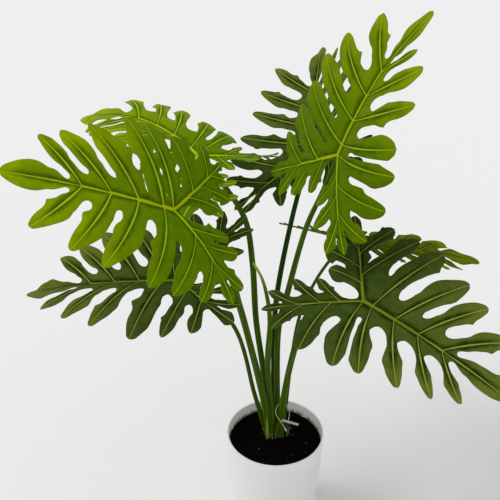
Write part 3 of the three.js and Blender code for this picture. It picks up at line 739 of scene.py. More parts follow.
def leaf_look(name, colors, under=False, tone=1, shine=0.015):
    """A leaf's skin. Its veins, the fine feathering between them and its pale edge follow its own maps."""
    roughness, feather = (0.62, FAINT_FEATHERING) if under else (0.5, FEATHERING)
    skin = Paint(name, roughness, shine)
    calc, mask, mix, cloud = skin.calc, skin.mask, skin.mix, skin.cloud
    colors = {part: tuple(value * tone for value in color) for part, color in colors.items()}

    def mapped(layer, axis, unit):
        """A value of the leaf's own maps, back in its unit."""
        uv = skin.add("UVMap", {}, "UV", uv_map=layer)
        return calc("MULTIPLY", skin.add("SeparateXYZ", {"Vector": uv}, axis), unit)

    along, off = mapped("vein", "X", MAP_UNIT), mapped("vein", "Y", MAP_UNIT)
    width, left = mapped("reach", "X", WIDTH_UNIT), mapped("reach", "Y", MAP_UNIT)
    vein = mask(calc("DIVIDE", off, width), 0.6, 1.05)
    off_unevenly = calc("ADD", off, calc("MULTIPLY", cloud(70, 3), 4))
    band = calc("ADD", calc("MULTIPLY", width, 0.6), 1.2)
    # Painted shade: a band beside each vein is darkened, where the sunken veins would shade the blade.
    vein_shade_mask = calc("MULTIPLY", mask(calc("DIVIDE", off_unevenly, band), 1.9, 5), mask(width, 0.95, 0.5))
    toward_tip = calc("ADD", mapped("place", "Y", 1), calc("MULTIPLY", cloud(14, 3), 0.5))
    slant = calc("ADD", along, calc("MULTIPLY", off, -0.75))
    slant = calc("ADD", slant, calc("MULTIPLY", cloud(90, 4), 9))
    stripe = calc("PINGPONG", slant, FEATHER_SPACING / 2)
    line = calc("MULTIPLY", mask(stripe, 0.05, feather["width"]), feather["strength"])
    line = calc("MULTIPLY", line, mask(cloud(90, 2), 0.62, 0.38))
    line = calc("MULTIPLY", line, calc("SUBTRACT", 1, mask(left, 0.3, 2.5)))
    furrow = calc("MULTIPLY", mask(stripe, FEATHER_SPACING / 2, feather["width"] / 2), feather["furrow"])
    furrow = calc("MULTIPLY", furrow, mask(cloud(60, 2), 0.6, 0.4))
    outward = calc("ADD", along, calc("MULTIPLY", cloud(30, 3), 50))
    # Paler, yellower lobe ends toward the leaf's tip: partly their own colour, partly a painted highlight.
    tip_tone_and_highlight = calc("MULTIPLY", mask(outward, 105, 45), mask(toward_tip, 0.95, 0.3))
    body = mix(mask(toward_tip, 0.2, 0.85), colors["open"], colors["deep"])
    body = mix(tip_tone_and_highlight, body, colors["tip_tone_and_highlight"])
    body = mix(calc("MULTIPLY", mask(cloud(38, 3), 0.62, 0.42), 0.5), body, colors["deep"])
    # Painted shade beside the veins, and the same painted shade along the fine furrows of the feathering.
    body = mix(vein_shade_mask, body, colors["vein_shade"])
    body = mix(furrow, body, colors["vein_shade"])
    body = mix(line, body, colors["feather"])
    body = mix(calc("MULTIPLY", mask(left, 0.25, 0.75), 0.55), body, colors["edge"])
    body = mix(vein, body, mix(mask(width, 2.0, 1.5), colors["vein"], colors["rib"]))
    uneven = calc("ADD", roughness - 0.08, calc("MULTIPLY", cloud(55, 4), 0.16))
    skin.feed({"Base Color": body, "Roughness": uneven})
    lift = 0.5 if under else -0.5
    height = calc("ADD", calc("MULTIPLY", vein, lift), calc("MULTIPLY", line, lift * 0.6))
    height = calc("ADD", height, calc("MULTIPLY", calc("PINGPONG", slant, 0.42), 0.12))
    height = calc("ADD", height, calc("MULTIPLY", cloud(900, 3), 0.12))
    skin.bump(height, 0.55, 0.0006)
    return skin


# Leaf colours. The darkest green beside the veins is painted shade; the pale colour of the lobe ends toward
# the leaf's tip is partly their own and partly a painted highlight.
BRIGHT_TOP = {
    "deep": (0.104, 0.200, 0.0), "open": (0.200, 0.315, 0.0), "vein_shade": (0.048, 0.112, 0.0),
    "tip_tone_and_highlight": (0.290, 0.390, 0.0), "feather": (0.260, 0.385, 0.0), "edge": (0.20, 0.31, 0.01),
    "vein": (0.40, 0.53, 0.015), "rib": (0.42, 0.52, 0.004),
}
BRIGHT_UNDER = {
    "deep": (0.105, 0.19, 0.02), "open": (0.140, 0.240, 0.025), "vein_shade": (0.10, 0.18, 0.02),
    "tip_tone_and_highlight": (0.16, 0.27, 0.03), "feather": (0.19, 0.30, 0.04), "edge": (0.22, 0.33, 0.05),
    "vein": (0.27, 0.40, 0.06), "rib": (0.25, 0.38, 0.05),
}
DARK_TOP = {
    "deep": (0.036, 0.061, 0.009), "open": (0.083, 0.116, 0.014), "vein_shade": (0.009, 0.022, 0.0005),
    "tip_tone_and_highlight": (0.135, 0.168, 0.020), "feather": (0.130, 0.174, 0.026), "edge": (0.10, 0.15, 0.035),
    "vein": (0.220, 0.290, 0.040), "rib": (0.140, 0.192, 0.010),
}
DARK_UNDER = {
    "deep": (0.045, 0.085, 0.018), "open": (0.058, 0.10, 0.022), "vein_shade": (0.040, 0.078, 0.018),
    "tip_tone_and_highlight": (0.078, 0.125, 0.025), "feather": (0.085, 0.14, 0.035), "edge": (0.10, 0.17, 0.045),
    "vein": (0.17, 0.26, 0.06), "rib": (0.15, 0.23, 0.05),
}
# Painted sunlight: the back right leaf's colours are a paler, yellower copy of the dark leaf's.
SUNLIT_TOP = {
    "deep": (0.045, 0.070, 0.006), "open": (0.120, 0.160, 0.006), "vein_shade": (0.030, 0.045, 0.002),
    "tip_tone_and_highlight": (0.200, 0.250, 0.004), "feather": (0.170, 0.220, 0.010), "edge": (0.12, 0.17, 0.03),
    "vein": (0.24, 0.32, 0.03), "rib": (0.18, 0.24, 0.02),
}
SUNLIT_UNDER = {
    "deep": (0.060, 0.085, 0.006), "open": (0.095, 0.130, 0.007), "vein_shade": (0.050, 0.075, 0.004),
    "tip_tone_and_highlight": (0.160, 0.200, 0.005), "feather": (0.120, 0.165, 0.012), "edge": (0.12, 0.17, 0.03),
    "vein": (0.19, 0.26, 0.03), "rib": (0.16, 0.22, 0.02),
}
bright_under = leaf_look("bright leaf, underside", BRIGHT_UNDER, under=True)
SKINS = {
    "bright": (leaf_look("bright leaf, upper side", BRIGHT_TOP), bright_under),
    # Painted shade: the top right leaf stands in full light, and its skin is the bright one darkened
    # throughout to tone that light down.
    "middle": (leaf_look("bright leaf in full light, upper side", BRIGHT_TOP, tone=0.76), bright_under),
    "dark": (
        leaf_look("dark leaf, upper side", DARK_TOP, shine=0.008),
        leaf_look("dark leaf, underside", DARK_UNDER, under=True),
    ),
    # Painted sunlight on the back right leaf: a paler, yellower copy of the dark skin.
    "painted_sunlit": (
        leaf_look("dark leaf painted sunlit, upper side", SUNLIT_TOP, shine=0),
        leaf_look("dark leaf painted sunlit, underside", SUNLIT_UNDER, under=True, shine=0),
    ),
}

# Each leaf: where its stalk meets the blade, its size, heading (0 is +X, 90 is +Y), pitch and roll, and
# its bends in degrees: along the main and basal ribs, each side's fold up from the rib and its arch down
# to the margin. `habit` gives the margins of each side's lobes (toward the tip, toward the stalk, how
# full), `margins` those of single lobes, and `webs` how far in the gaps reach. `grown` names the lobes
# of another length (times as long) or heading (degrees away from the tip). `gaps` names pairs of
# crowded lobes, with the holes left between them: from and to which share of the vein, and how wide.
# The stalk has its points from the soil up, its radii at foot, middle and top, and a swelling foot.
LEAVES = [
    {
        "name": "leaf_front_left", "slot": "leaf_bright", "skin": "bright", "size": 1,
        "join": (-116, -59, 524), "heading": 213, "pitch": 32, "roll": -56,
        "bend": {"rib": 25, "basal": 9, "fold_left": 31, "fold_right": 8, "arch_left": 50, "arch_right": 37},
        "habit": {
            "left": ("tooth", "taper", 1.05), "right": ("broad", "broad", 1.25),
            "tip": ("even", "even", 1.2), "small": 1.3,
        },
        "grown": {
            "tip": (0.9, 0), "left side 1": (0.96, 5), "left side 3": (1, 2), "left side 4": (1.04, 3),
            "right side 0": (1, -2), "right side 1": (1.1, 2), "right side 2": (1, -2),
            "right side 3": (1, -3),
            "left end": (1.1, 0), "left outer 1": (1, -4), "left outer 2": (0.95, -10),
            "left inner 1": (1.3, -3), "left inner 2": (1.1, 0), "left inner 3": (1.15, -6),
            "right end": (0.65, 2), "right outer 1": (0.9, -10), "right outer 2": (0.85, -9),
            "right inner 1": (1.05, -5), "right inner 3": (0.6, 10),
        },
        "margins": {
            "right side 4": ("even", "even", 0.95), "right side 3": ("even", "even", 1.1),
            "left side 4": ("tooth", "taper", 1.0), "left side 1": ("tooth", "late tooth", 1.05),
            "right side 0": ("broad", "broad", 2), "right side 1": ("broad", "broad", 1.6),
            "right outer 1": ("broad", "even", 2), "right outer 2": ("even", "even", 1.5),
            "right inner 1": ("broad", "even", 1.7), "right inner 2": ("even", "broad", 1.6),
            "right inner 3": ("even", "even", 1.5), "left inner 1": ("even", "tooth", 1.35),
            "left inner 2": ("even", "even", 1.35),
        },
        "webs": {"small left": 0.46, "small right": 0.55, "notch": 0.3},
        "gaps": {
            "right side 2, right side 1": [(0.19, 0.23, 3), (0.27, 0.46, 11), (0.6, 1.3, 6)],
            "right side 1, right side 2": [(0.35, 0.39, 3), (0.43, 0.63, 10), (0.76, 1.4, 6)],
            "right side 1, right side 0": [
                (0.31, 0.38, 5.5), (0.49, 0.58, 8), (0.71, 0.82, 9), (0.92, 1.3, 5),
            ],
            "right side 0, right side 1": [(0.41, 0.48, 5.5), (0.6, 0.69, 8), (0.82, 0.93, 9)],
            "right side 0, right outer 1": [(0.22, 0.29, 7), (0.4, 0.47, 8), (0.54, 0.61, 8), (0.8, 1.3, 5)],
            "right outer 1, right side 0": [(0.2, 0.28, 7), (0.4, 0.49, 8), (0.66, 0.75, 8), (0.9, 1.3, 5)],
        },
        "stalk": [(-9, 9, 138), (-12, 7, 176), (-36, -5, 311), (-47, -12, 366), (-58, -17, 412)],
        "radius": (3.4, 4.2, 3.2), "foot": 2.2,
    },
    {
        "name": "leaf_back_left", "slot": "leaf_bright", "skin": "bright", "size": 1,
        "join": (-101, 121, 502), "heading": 132, "pitch": 19, "roll": 28,
        "bend": {
            "rib": 41, "basal": -55, "fold_left": -20, "fold_right": 41, "arch_left": 50, "arch_right": 56,
        },
        "habit": {
            "left": ("even", "tooth", 1), "right": ("cornered", "flared", 1.1),
            "tip": ("even", "even", 1.6), "small": 1,
        },
        "grown": {
            "tip": (1, -10), "left side 1": (0.7, 0), "left side 2": (1, -20), "left side 3": (1.1, -20),
            "left outer 1": (0.7, 0),
            "right side 0": (0.85, 6), "right side 1": (0.8, 2), "right side 2": (0.75, 4),
            "right side 3": (0.93, 8), "right side 4": (1.15, 0), "right outer 1": (0.6, 0),
            "right inner 1": (0.95, 12),
        },
        "webs": {"right": 0.36, "left": 0.15, "small left": 0.18},
        "stalk": [
            (-5, 16, 138), (-14, 32, 211), (-26, 49, 298), (-31, 64, 379), (-40, 80, 431), (-64, 97, 467),
        ],
        "radius": (3.4, 4.0, 3.2), "foot": 0.8,
    },
    {
        "name": "leaf_low_left", "slot": "leaf_dark", "skin": "dark", "size": 1,
        "join": (-124, -2, 394), "heading": 169, "pitch": -7, "roll": -4,
        "bend": {
            "rib": 10, "basal": -13, "fold_left": 23, "fold_right": 25, "arch_left": 55, "arch_right": 8,
        },
        "habit": {
            "left": ("tooth", "waist", 1), "right": ("even", "even", 1.05),
            "tip": ("even", "waist", 1.45), "small": 1,
        },
        "grown": {
            "tip": (0.92, -9), "left side 1": (1.03, 5), "left side 4": (0.96, 2), "right side 1": (1, -4),
            "right side 2": (1.05, 0), "left outer 2": (0.9, -9), "left end": (1.1, 6),
        },
        "margins": {
            "left side 1": ("tooth", "even", 1.1), "left side 2": ("late tooth", "waist", 0.85),
            "left side 3": ("waist", "waist", 0.85), "left side 4": ("even", "waist", 0.8),
            "left outer 2": ("even", "flared", 1.3), "left end": ("flared", "even", 1.2),
        },
        "webs": {"small right": 0.45},
        "stalk": [(-13, 16, 138), (-27.5, 17, 198), (-57, 20, 315)],
        "radius": (2.7, 2.7, 2.4), "foot": 0.6,
    },
    {
        "name": "leaf_top_right", "slot": "leaf_bright", "skin": "middle", "size": 1,
        "join": (67, 35, 544), "heading": -16, "pitch": 73, "roll": 45,
        "bend": {
            "rib": 28, "basal": -15, "fold_left": 6, "fold_right": 21, "arch_left": 20, "arch_right": 41,
        },
        "habit": {
            "left": ("even", "even", 1.05), "right": ("even", "tooth", 1.15),
            "tip": ("even", "even", 0.8), "small": 1.35,
        },
        "grown": {
            "tip": (0.9, 7), "left side 2": (1.12, 7), "left side 3": (1.08, 9), "left side 4": (0.92, 0),
            "right side 2": (1.03, -2), "right side 3": (1.04, -5), "right side 4": (0.8, -5),
            "left end": (1.3, -2), "left outer 1": (1.1, -5), "left outer 2": (1.1, -12),
            "left inner 2": (1, -5), "left inner 3": (1.06, 8), "right end": (0.9, -3),
            "right outer 1": (1.06, 0), "right inner 1": (1.1, 8), "right inner 2": (1.05, 6),
        },
        "margins": {
            "left side 4": ("tooth", "even", 1.25), "left side 3": ("tooth", "even", 1.08),
            "left side 1": ("even", "flared", 1.25), "left outer 1": ("broad", "even", 1.7),
            "right side 1": ("flared", "even", 1.38), "right side 0": ("broad", "late tooth", 1.15),
            "right outer 1": ("tooth", "even", 1.25), "right side 4": ("even", "even", 0.72),
            "right side 3": ("even", "even", 0.95), "right side 2": ("waist", "tooth", 0.88),
        },
        "webs": {"small left": 0.5, "small right": 0.42},
        "gaps": {
            "left side 1, left outer 1": [(0.3, 0.42, 4), (0.86, 1.3, 4)],
            "left outer 1, left side 1": [(0.36, 0.52, 4), (0.86, 1.3, 4)],
            "left outer 1, left outer 2": [(0.6, 0.7, 3), (0.85, 1.3, 4)],
            "left outer 2, left outer 1": [(0.5, 0.62, 3), (0.85, 1.3, 4)],
        },
        "stalk": [(3, 16, 138), (3, 33, 298), (13, 37, 348), (34, 40, 444), (50, 38, 490)],
        "radius": (3.4, 3.9, 2.6), "foot": 1.2,
    },
    {
        "name": "leaf_top_back", "slot": "leaf_dark", "skin": "dark", "size": 1.1,
        "join": (48, 181, 476), "heading": 85, "pitch": 18, "roll": -33,
        "bend": {"rib": 0, "basal": 0, "fold_left": 26, "fold_right": 25, "arch_left": 5, "arch_right": 18},
        "habit": {
            "left": ("tooth", "taper", 0.82), "right": ("waist", "tooth", 0.88),
            "tip": ("even", "flared", 0.95), "small": 1.1,
        },
        "grown": {
            "tip": (0.95, 4), "left side 1": (0.94, 0), "left side 2": (0.95, 0), "left side 4": (1.1, -3),
            "left outer 1": (1.1, -9), "left outer 2": (1.05, -16), "left inner 3": (1, -14),
        },
        "margins": {
            "left side 3": ("late tooth", "taper", 0.82), "left side 1": ("tooth", "late tooth", 0.82),
        },
        "stalk": [(-1, 24, 138), (-1.5, 69, 271), (3, 89, 321), (28, 124, 444)],
        "radius": (3.4, 3.6, 2.8), "foot": 0.6,
    },
    {
        "name": "leaf_low_right", "slot": "leaf_dark", "skin": "dark", "size": 1,
        "join": (94, -67, 410), "heading": -48, "pitch": 0, "roll": 23,
        "bend": {"rib": 19, "basal": -6, "fold_left": 5, "fold_right": 21, "arch_left": 6, "arch_right": 21},
        "habit": {
            "left": ("late tooth", "even", 1), "right": ("waist", "waist", 1),
            "tip": ("late tooth", "even", 0.95), "small": 1.05,
        },
        "grown": {
            "tip": (0.96, 0), "left side 1": (1.03, 2), "left side 3": (0.97, 2), "right side 0": (1, -2),
            "right side 1": (1.04, -2), "right side 3": (1.05, 0), "right side 4": (1.03, -2),
            "left end": (1.15, 3), "left outer 1": (1.06, -5), "left outer 2": (1, -15),
            "right end": (0.87, 0), "right outer 2": (0.92, 5), "right inner 1": (1.05, 10),
            "right inner 2": (1, 7), "right inner 3": (0.92, 6),
        },
        "margins": {
            "left outer 1": ("tooth", "cornered", 1.15), "left outer 2": ("cornered", "cornered", 1.4),
            "left side 1": ("cornered", "even", 1.1), "left side 2": ("late tooth", "even", 1.15),
            "right side 0": ("late tooth", "waist", 1.15), "right outer 1": ("waist", "tooth", 1.3),
            "right outer 2": ("tooth", "even", 1.25), "right side 2": ("waist", "waist", 0.8),
            "right side 3": ("waist", "waist", 0.66), "right side 4": ("waist", "waist", 0.8),
            "left inner 1": ("even", "even", 1.8), "left inner 2": ("even", "even", 1.7),
            "left inner 3": ("even", "even", 1.5),
        },
        "webs": {"small left": 0.5, "small right": 0.4, "notch": 0.2},
        "gaps": {
            "left outer 1, left outer 2": [(0.42, 0.54, 5), (0.8, 1.3, 5)],
            "left outer 2, left outer 1": [(0.42, 0.54, 5), (0.8, 1.3, 5)],
        },
        "stalk": [(8, 9, 138), (9, 3, 194), (22, -12, 301), (32, -22, 345)],
        "radius": (3.4, 4.0, 3.0), "foot": 1.3,
    },
    {
        "name": "leaf_back_right", "slot": "leaf_dark", "skin": "painted_sunlit", "size": 0.98,
        "join": (98, 150, 362), "heading": 5, "pitch": -12, "roll": -25, "twist": 20,
        "bend": {"rib": 4, "basal": -22, "fold_left": 2, "fold_right": 0, "arch_left": 2, "arch_right": 10},
        "habit": {
            "left": ("cornered", "broad", 1.4), "right": ("taper", "tooth", 1.1),
            "tip": ("taper", "taper", 1.5), "small": 1,
        },
        "grown": {
            "left outer 1": (0.8, 0), "left outer 2": (0.75, 0), "left end": (0.8, 0),
            "left inner 1": (0.6, 0), "left inner 2": (0.6, 0), "left inner 3": (0.6, 0),
            "right outer 1": (0.8, 0), "right outer 2": (0.75, 0), "right end": (0.8, 0),
            "right inner 1": (0.6, 0), "right inner 2": (0.6, 0), "right inner 3": (0.6, 0),
        },
        "webs": {"left": 0.5, "right": 0.45},
        "stalk": [(11, 17, 138), (31, 62, 294), (52, 90, 331), (74, 119, 348)],
        "radius": (2.2, 2.2, 2.0), "foot": 0.3,
    },
]

for leaf in LEAVES:
    blade = new_piece(leaf["name"] + "_blade", blade_mesh(leaf), SKINS[leaf["skin"]])
    blade.vertex_groups.new(name="thickness")
    body = blade.modifiers.new("body below", "SOLIDIFY")
    body.thickness = (RIB_DEPTH + BLADE) * MM
    body.offset = -1
    body.vertex_group = "thickness"
    body.material_offset = 1
    body.material_offset_rim = 1
    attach(blade, "root")
    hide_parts(leaf["name"])

# Stalks. Round smooth green stalks, each standing in the soil and bending up to its blade. They are
# thickest at mid height, and finely streaked along their length.
STALK_STEPS = 64
STALK_SIDES = 20
STALK_FOOT = 45
CURVE_STEPS = 24
SWELLS_BELOW = 0.45
NARROWS_ABOVE = 0.96
NARROWS_OVER = 0.04
NARROWING = 0.3
STALK_INSET = -1.6


def through_points(points, steps):
    """Evenly spaced points on a smooth curve through the given ones, with the same bends as the solid."""
    spots = [Vector(p) for p in points]
    chain = [spots[0] * 2 - spots[1], *spots, spots[-1] * 2 - spots[-2]]
    fine = []
    for one, two, three, four in zip(chain, chain[1:], chain[2:], chain[3:]):
        first, gap, last = (
            max(1e-4, (b - a).length ** 0.5) for a, b in ((one, two), (two, three), (three, four))
        )
        lead = ((two - one) / first - (three - one) / (first + gap) + (three - two) / gap) * gap
        tail = ((three - two) / gap - (four - two) / (gap + last) + (four - three) / last) * gap
        fine += [curve_between(two, three, lead, tail, k / CURVE_STEPS) for k in range(CURVE_STEPS)]
    fine.append(spots[-1])
    ways = [0]
    for one, two in zip(fine, fine[1:]):
        ways.append(ways[-1] + (two - one).length)
    even = []
    k = 0
    for step in range(steps + 1):
        target = ways[-1] * step / steps
        while k < len(ways) - 2 and ways[k + 1] < target:
            k += 1
        even.append(fine[k].lerp(fine[k + 1], (target - ways[k]) / (ways[k + 1] - ways[k])))
    return even


def ring_frames(centres):
    """Where each ring of a stem lies: a matrix with its middle and its two directions across."""
    across = Vector((1, 0, 0))
    frames = []
    for k, centre in enumerate(centres):
        ahead = (centres[min(k + 1, len(centres) - 1)] - centres[max(k - 1, 0)]).normalized()
        across = (across - ahead * across.dot(ahead)).normalized()
        turn = Matrix((across, ahead.cross(across), ahead)).transposed().to_4x4()
        frames.append(Matrix.Translation(centre) @ turn)
    return frames


def stem_mesh(centres, radii, sides):
    """Extrudes a ring along a path, with a radius at each of its points, both in millimetres."""
    bm = bmesh.new()
    around = bm.verts.layers.float_vector.new("along_stem")
    frames = [frame_at @ Matrix.Scale(radius, 4) for frame_at, radius in zip(ring_frames(centres), radii)]
    ring = bmesh.ops.create_circle(bm, cap_ends=True, segments=sides, radius=1)["verts"]
    edges = list({edge for vert in ring for edge in vert.link_edges})
    for vert in ring:
        vert[around] = (vert.co.x, vert.co.y, 0)
    bmesh.ops.transform(bm, matrix=frames[0], verts=ring)
    way = 0
    for k in range(1, len(frames)):
        way += (centres[k] - centres[k - 1]).length
        made = bmesh.ops.extrude_edge_only(bm, edges=edges)["geom"]
        ring = [item for item in made if isinstance(item, bmesh.types.BMVert)]
        edges = [item for item in made if isinstance(item, bmesh.types.BMEdge)]
        bmesh.ops.transform(bm, matrix=frames[k] @ frames[k - 1].inverted(), verts=ring)
        for vert in ring:
            vert[around].z = way / MAP_UNIT
    bmesh.ops.contextual_create(bm, geom=edges)
    bmesh.ops.scale(bm, vec=(MM, MM, MM), verts=bm.verts)
    bmesh.ops.recalc_face_normals(bm, faces=bm.faces)
    return bm


def stalk_mesh(points, radii, foot=0, narrowing=0):
    """A stalk from below the soil up through its points, thicker at its foot and narrower at its end."""
    centres = through_points(points, STALK_STEPS)
    low, middle, high = radii
    sizes = [low + foot]
    for k in range(STALK_STEPS + 1):
        share = k / STALK_STEPS
        part = (low, middle, share * 2) if share < 0.5 else (middle, high, share * 2 - 1)
        radius = blend_number(*part)
        radius += foot * max(0, 1 - share / SWELLS_BELOW) ** 1.3
        sizes.append(radius * (1 - narrowing * ease((share - NARROWS_ABOVE) / NARROWS_OVER)))
    return stem_mesh([centres[0] - Vector((0, 0, STALK_FOOT)), *centres], sizes, STALK_SIDES)


def stalk_look(name, light, dark, streak, point=None):
    """A stalk's skin, streaked lengthwise. Its point has a paler colour, from one height to another."""
    skin = Paint(name, 0.45, 0.04)
    streaks = skin.cloud(2.2, 5, skin.add("Attribute", {}, "Vector", attribute_name="along_stem"))
    color = skin.ramp(streaks, (0.3, dark), (0.52, streak), (0.7, light))
    if point:
        pale, begin, end = point
        color = skin.mix(skin.mask(skin.height(), end * MM, begin * MM), color, pale)
    skin.feed({"Base Color": color})
    skin.bump(streaks, 0.35, 0.0004)
    return skin


green_stalk = stalk_look(
    "mid green stalk", (0.095, 0.165, 0.006), (0.022, 0.052, 0.002), (0.050, 0.098, 0.003),
)
# Painted shade: the back leaf's stalk, which stands behind the others, takes a darker copy of the stalk
# colours.
shaded_stalk = stalk_look(
    "dark green stalk", (0.026, 0.075, 0.003), (0.007, 0.026, 0.001), (0.014, 0.048, 0.002),
)
STALK_SKINS = {"leaf_top_back": shaded_stalk}

for leaf in LEAVES:
    top = leaf_placer(leaf)(0, 0, STALK_INSET) / MM
    stalk = new_piece(
        leaf["name"] + "_stalk",
        stalk_mesh([*leaf["stalk"], tuple(top)], leaf["radius"], leaf["foot"], NARROWING),
        [STALK_SKINS.get(leaf["name"], green_stalk)],
    )
    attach(stalk, "root")
    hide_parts(leaf["name"])

# New shoot. The next leaf, still rolled: a thin green sheath among the stalks, with a pale yellow-green
# point that bends to the left.
SHOOT_PATH = [
    (-1, 9, 138), (-6, 11, 190), (-11, 13, 251), (-9, 14, 324), (-13, 14, 360),
    (-20, 12, 390), (-30, 10, 412),
]
SHOOT_RADII = (2.8, 4.0, 1.4)
SHOOT_POINT = ((0.30, 0.38, 0.03), 368, 404)
shoot_skin = stalk_look(
    "rolled new leaf", (0.105, 0.190, 0.007), (0.032, 0.075, 0.003), (0.062, 0.125, 0.004), SHOOT_POINT,
)
shoot = new_piece("rolled_leaf", stalk_mesh(SHOOT_PATH, SHOOT_RADII), [shoot_skin])
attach(shoot, "root")
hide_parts("new_shoot")

# Bracts. Thin sheaths that once wrapped young stalks and now stand at the stalks' foot as pointed half
# tubes, one papery and pale, the others green: each a strip narrowed to its tip, curled round its length
# and given a thin body.
BRACT_BODY = 0.35
BRACT_CURL = 1.15
BRACTS = [
    {
        "name": "papery_bract", "foot": (-10, 1.7, 134), "height": 41, "width": 2.4, "lean": (-1.5, -2),
        "colors": ((0.30, 0.40, 0.05), (0.13, 0.21, 0.015), (0.21, 0.31, 0.03)),
    },
    {
        "name": "green_bract_middle", "foot": (1.5, 5.6, 134), "height": 30, "width": 3.4, "lean": (1.5, 0.5),
        "colors": ((0.085, 0.145, 0.006), (0.030, 0.062, 0.003), (0.055, 0.100, 0.004)),
    },
    {
        "name": "green_bract_left", "foot": (-4.5, 4.4, 134), "height": 22, "width": 3.2, "lean": (-0.5, 0),
        "colors": ((0.105, 0.170, 0.008), (0.035, 0.070, 0.003), (0.065, 0.115, 0.005)),
    },
    {
        "name": "green_bract_right", "foot": (7.5, 4.6, 134), "height": 17, "width": 4.4, "lean": (1.5, -1),
        "colors": ((0.075, 0.130, 0.006), (0.024, 0.054, 0.002), (0.048, 0.090, 0.004)),
    },
]

for bract in BRACTS:
    bract_mesh = bmesh.new()
    bract_rings = bract_mesh.verts.layers.float_vector.new("along_stem")
    bmesh.ops.create_grid(bract_mesh, x_segments=8, y_segments=18, size=1)
    for vert in bract_mesh.verts:
        rise = (vert.co.y + 1) / 2
        curl = vert.co.x * BRACT_CURL
        reach = bract["width"] * (1 - rise ** 2.2) + 0.15
        aside, back = bract["lean"]
        lean = Vector((aside * rise, back * rise * (0.4 + 0.6 * rise), bract["height"] * rise))
        vert[bract_rings] = (vert.co.x, rise, bract["height"] * rise / MAP_UNIT)
        around = Vector((reach * math.sin(curl), -reach * math.cos(curl) * 0.8, 0))
        vert.co = (Vector(bract["foot"]) + lean + around) * MM
    bract_skin = stalk_look(bract["name"].replace("_", " "), *bract["colors"])
    sheath = new_piece(bract["name"], bract_mesh, [bract_skin])
    bract_body = sheath.modifiers.new("thin body", "SOLIDIFY")
    bract_body.thickness = BRACT_BODY * MM
    bract_body.offset = 0
    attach(sheath, "root")
    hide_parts("new_shoot")

# Fibres. Pale dry shreds of old sheaths that curl out of the soil round the stalks' foot, each one a
# fine tapering thread, and a few pale grits that lie on the soil.
FIBRES = 34
FIBRE_STEPS = 9
FIBRE_SIDES = 5
FIBRE_FOOT = 134.5
CLUMP = (1.5, 12)
GRITS = 9

chance = random.Random(11)
fibre_mesh = bmesh.new()
for _ in range(FIBRES):
    around = chance.uniform(0, math.tau)
    spread = chance.uniform(12, 16)
    x, y = CLUMP[0] + 1.05 * spread * math.cos(around), CLUMP[1] + 0.85 * spread * math.sin(around)
    foot = Vector((x, y, FIBRE_FOOT))
    lean = around + chance.uniform(-0.9, 0.9)
    away = Vector((math.cos(lean), math.sin(lean), 0))
    height = chance.uniform(5, 14)
    reach = chance.uniform(2, 8)
    thickness = chance.uniform(0.22, 0.4)
    thread = []
    sizes = []
    for k in range(FIBRE_STEPS + 1):
        share = k / FIBRE_STEPS
        rise = Vector((0, 0, height * math.sin(1.8 * k / FIBRE_STEPS)))
        thread.append(foot + away * reach * share ** 2 + rise)
        sizes.append(thickness * (1.1 - share))
    single = stem_mesh(thread, sizes, FIBRE_SIDES)
    scrap = bpy.data.meshes.new("fibre scrap")
    single.to_mesh(scrap)
    single.free()
    fibre_mesh.from_mesh(scrap)
    bpy.data.meshes.remove(scrap)
for _ in range(GRITS):
    x, y = chance.uniform(-40, 50), chance.uniform(-40, 10)
    grit_place = Matrix.Translation(Vector((x, y, soil_height(x, y) + 0.5)) * MM)
    grit = chance.uniform(0.3, 0.6) * MM
    bmesh.ops.create_icosphere(fibre_mesh, subdivisions=2, radius=grit, matrix=grit_place)
fibre_skin = stalk_look("dry fibre", (0.60, 0.62, 0.46), (0.30, 0.33, 0.18), (0.44, 0.47, 0.30))
fibres = new_piece("dry_fibres", fibre_mesh, [fibre_skin])
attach(fibres, "root")
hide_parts("new_shoot")

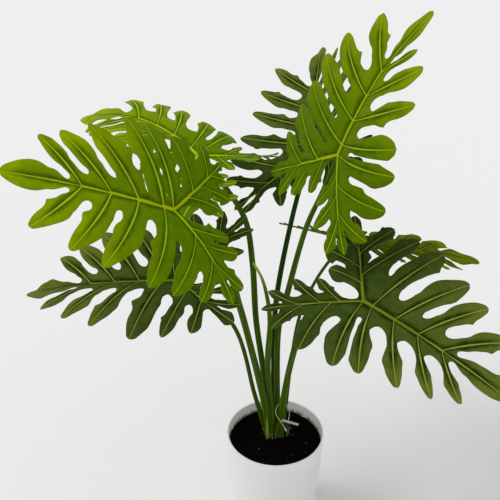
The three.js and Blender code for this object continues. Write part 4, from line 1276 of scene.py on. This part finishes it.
# Tag fastener. A moulded nylon tag pin that holds a label: a fine filament that loops round a stalk,
# with a flat bar at one end and a small barbed point at the other.
FASTENER_LOOP = [
    (13, -8.7, 161.5), (7.7, -6, 170.2), (0, -1, 183), (2.6, 5, 190.5), (9, 9.2, 192), (14.2, 6.8, 188.5),
    (18.1, 3, 182.4), (17.2, -1, 171.5), (16.4, 1.4, 165.6),
]
LOOP_STEPS = 48
FILAMENT = 0.42
FILAMENT_SIDES = 8
BAR_START = Vector((8.6, 0, 169.5))
BAR_END = Vector((31, 5, 156.5))
BAR_WIDTH = 3.4
BAR_THICKNESS = 1.3
POINT_PLACE = (14, -9.2, 159.8)
POINT_WAY = (0.5, -0.26, -0.85)

nylon = Paint("clear nylon", 0.35)
nylon.feed({"Base Color": nylon.mix(nylon.cloud(380, 2), (0.42, 0.45, 0.38), (0.72, 0.74, 0.68))})

filament_path = through_points(FASTENER_LOOP, LOOP_STEPS)
filament_mesh = stem_mesh(filament_path, [FILAMENT] * len(filament_path), FILAMENT_SIDES)
filament = new_piece("tag_filament", filament_mesh, [nylon])
bar_way = (BAR_END - BAR_START).normalized()
bar_across = bar_way.cross(Vector((0, 0, 1))).cross(bar_way).normalized()
bar_turn = Matrix((bar_way, bar_across, bar_way.cross(bar_across))).transposed().to_4x4()
bar_size = Matrix.Diagonal(((BAR_END - BAR_START).length * MM, BAR_WIDTH * MM, BAR_THICKNESS * MM, 1))
bar_mesh = bmesh.new()
bmesh.ops.create_cube(
    bar_mesh, size=1, matrix=Matrix.Translation((BAR_START + BAR_END) / 2 * MM) @ bar_turn @ bar_size,
)
bmesh.ops.bevel(
    bar_mesh, geom=bar_mesh.edges[:], offset=0.45 * MM, segments=3, profile=0.5, affect="EDGES", material=-1,
)
bar = new_piece("tag_bar", bar_mesh, [nylon])
point_turn = Vector(POINT_WAY).to_track_quat("Z", "Y").to_matrix().to_4x4()
point_mesh = bmesh.new()
bmesh.ops.create_cone(
    point_mesh, cap_ends=True, segments=16, radius1=1.9 * MM, radius2=0.3 * MM, depth=5.5 * MM,
    matrix=Matrix.Translation(Vector(POINT_PLACE) * MM) @ point_turn @ Matrix.Diagonal((1, 0.4, 1, 1)),
)
barbed_point = new_piece("tag_barbed_point", point_mesh, [nylon])
for tag_piece in (filament, bar, barbed_point):
    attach(tag_piece, "root")
    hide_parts("tag_fastener")
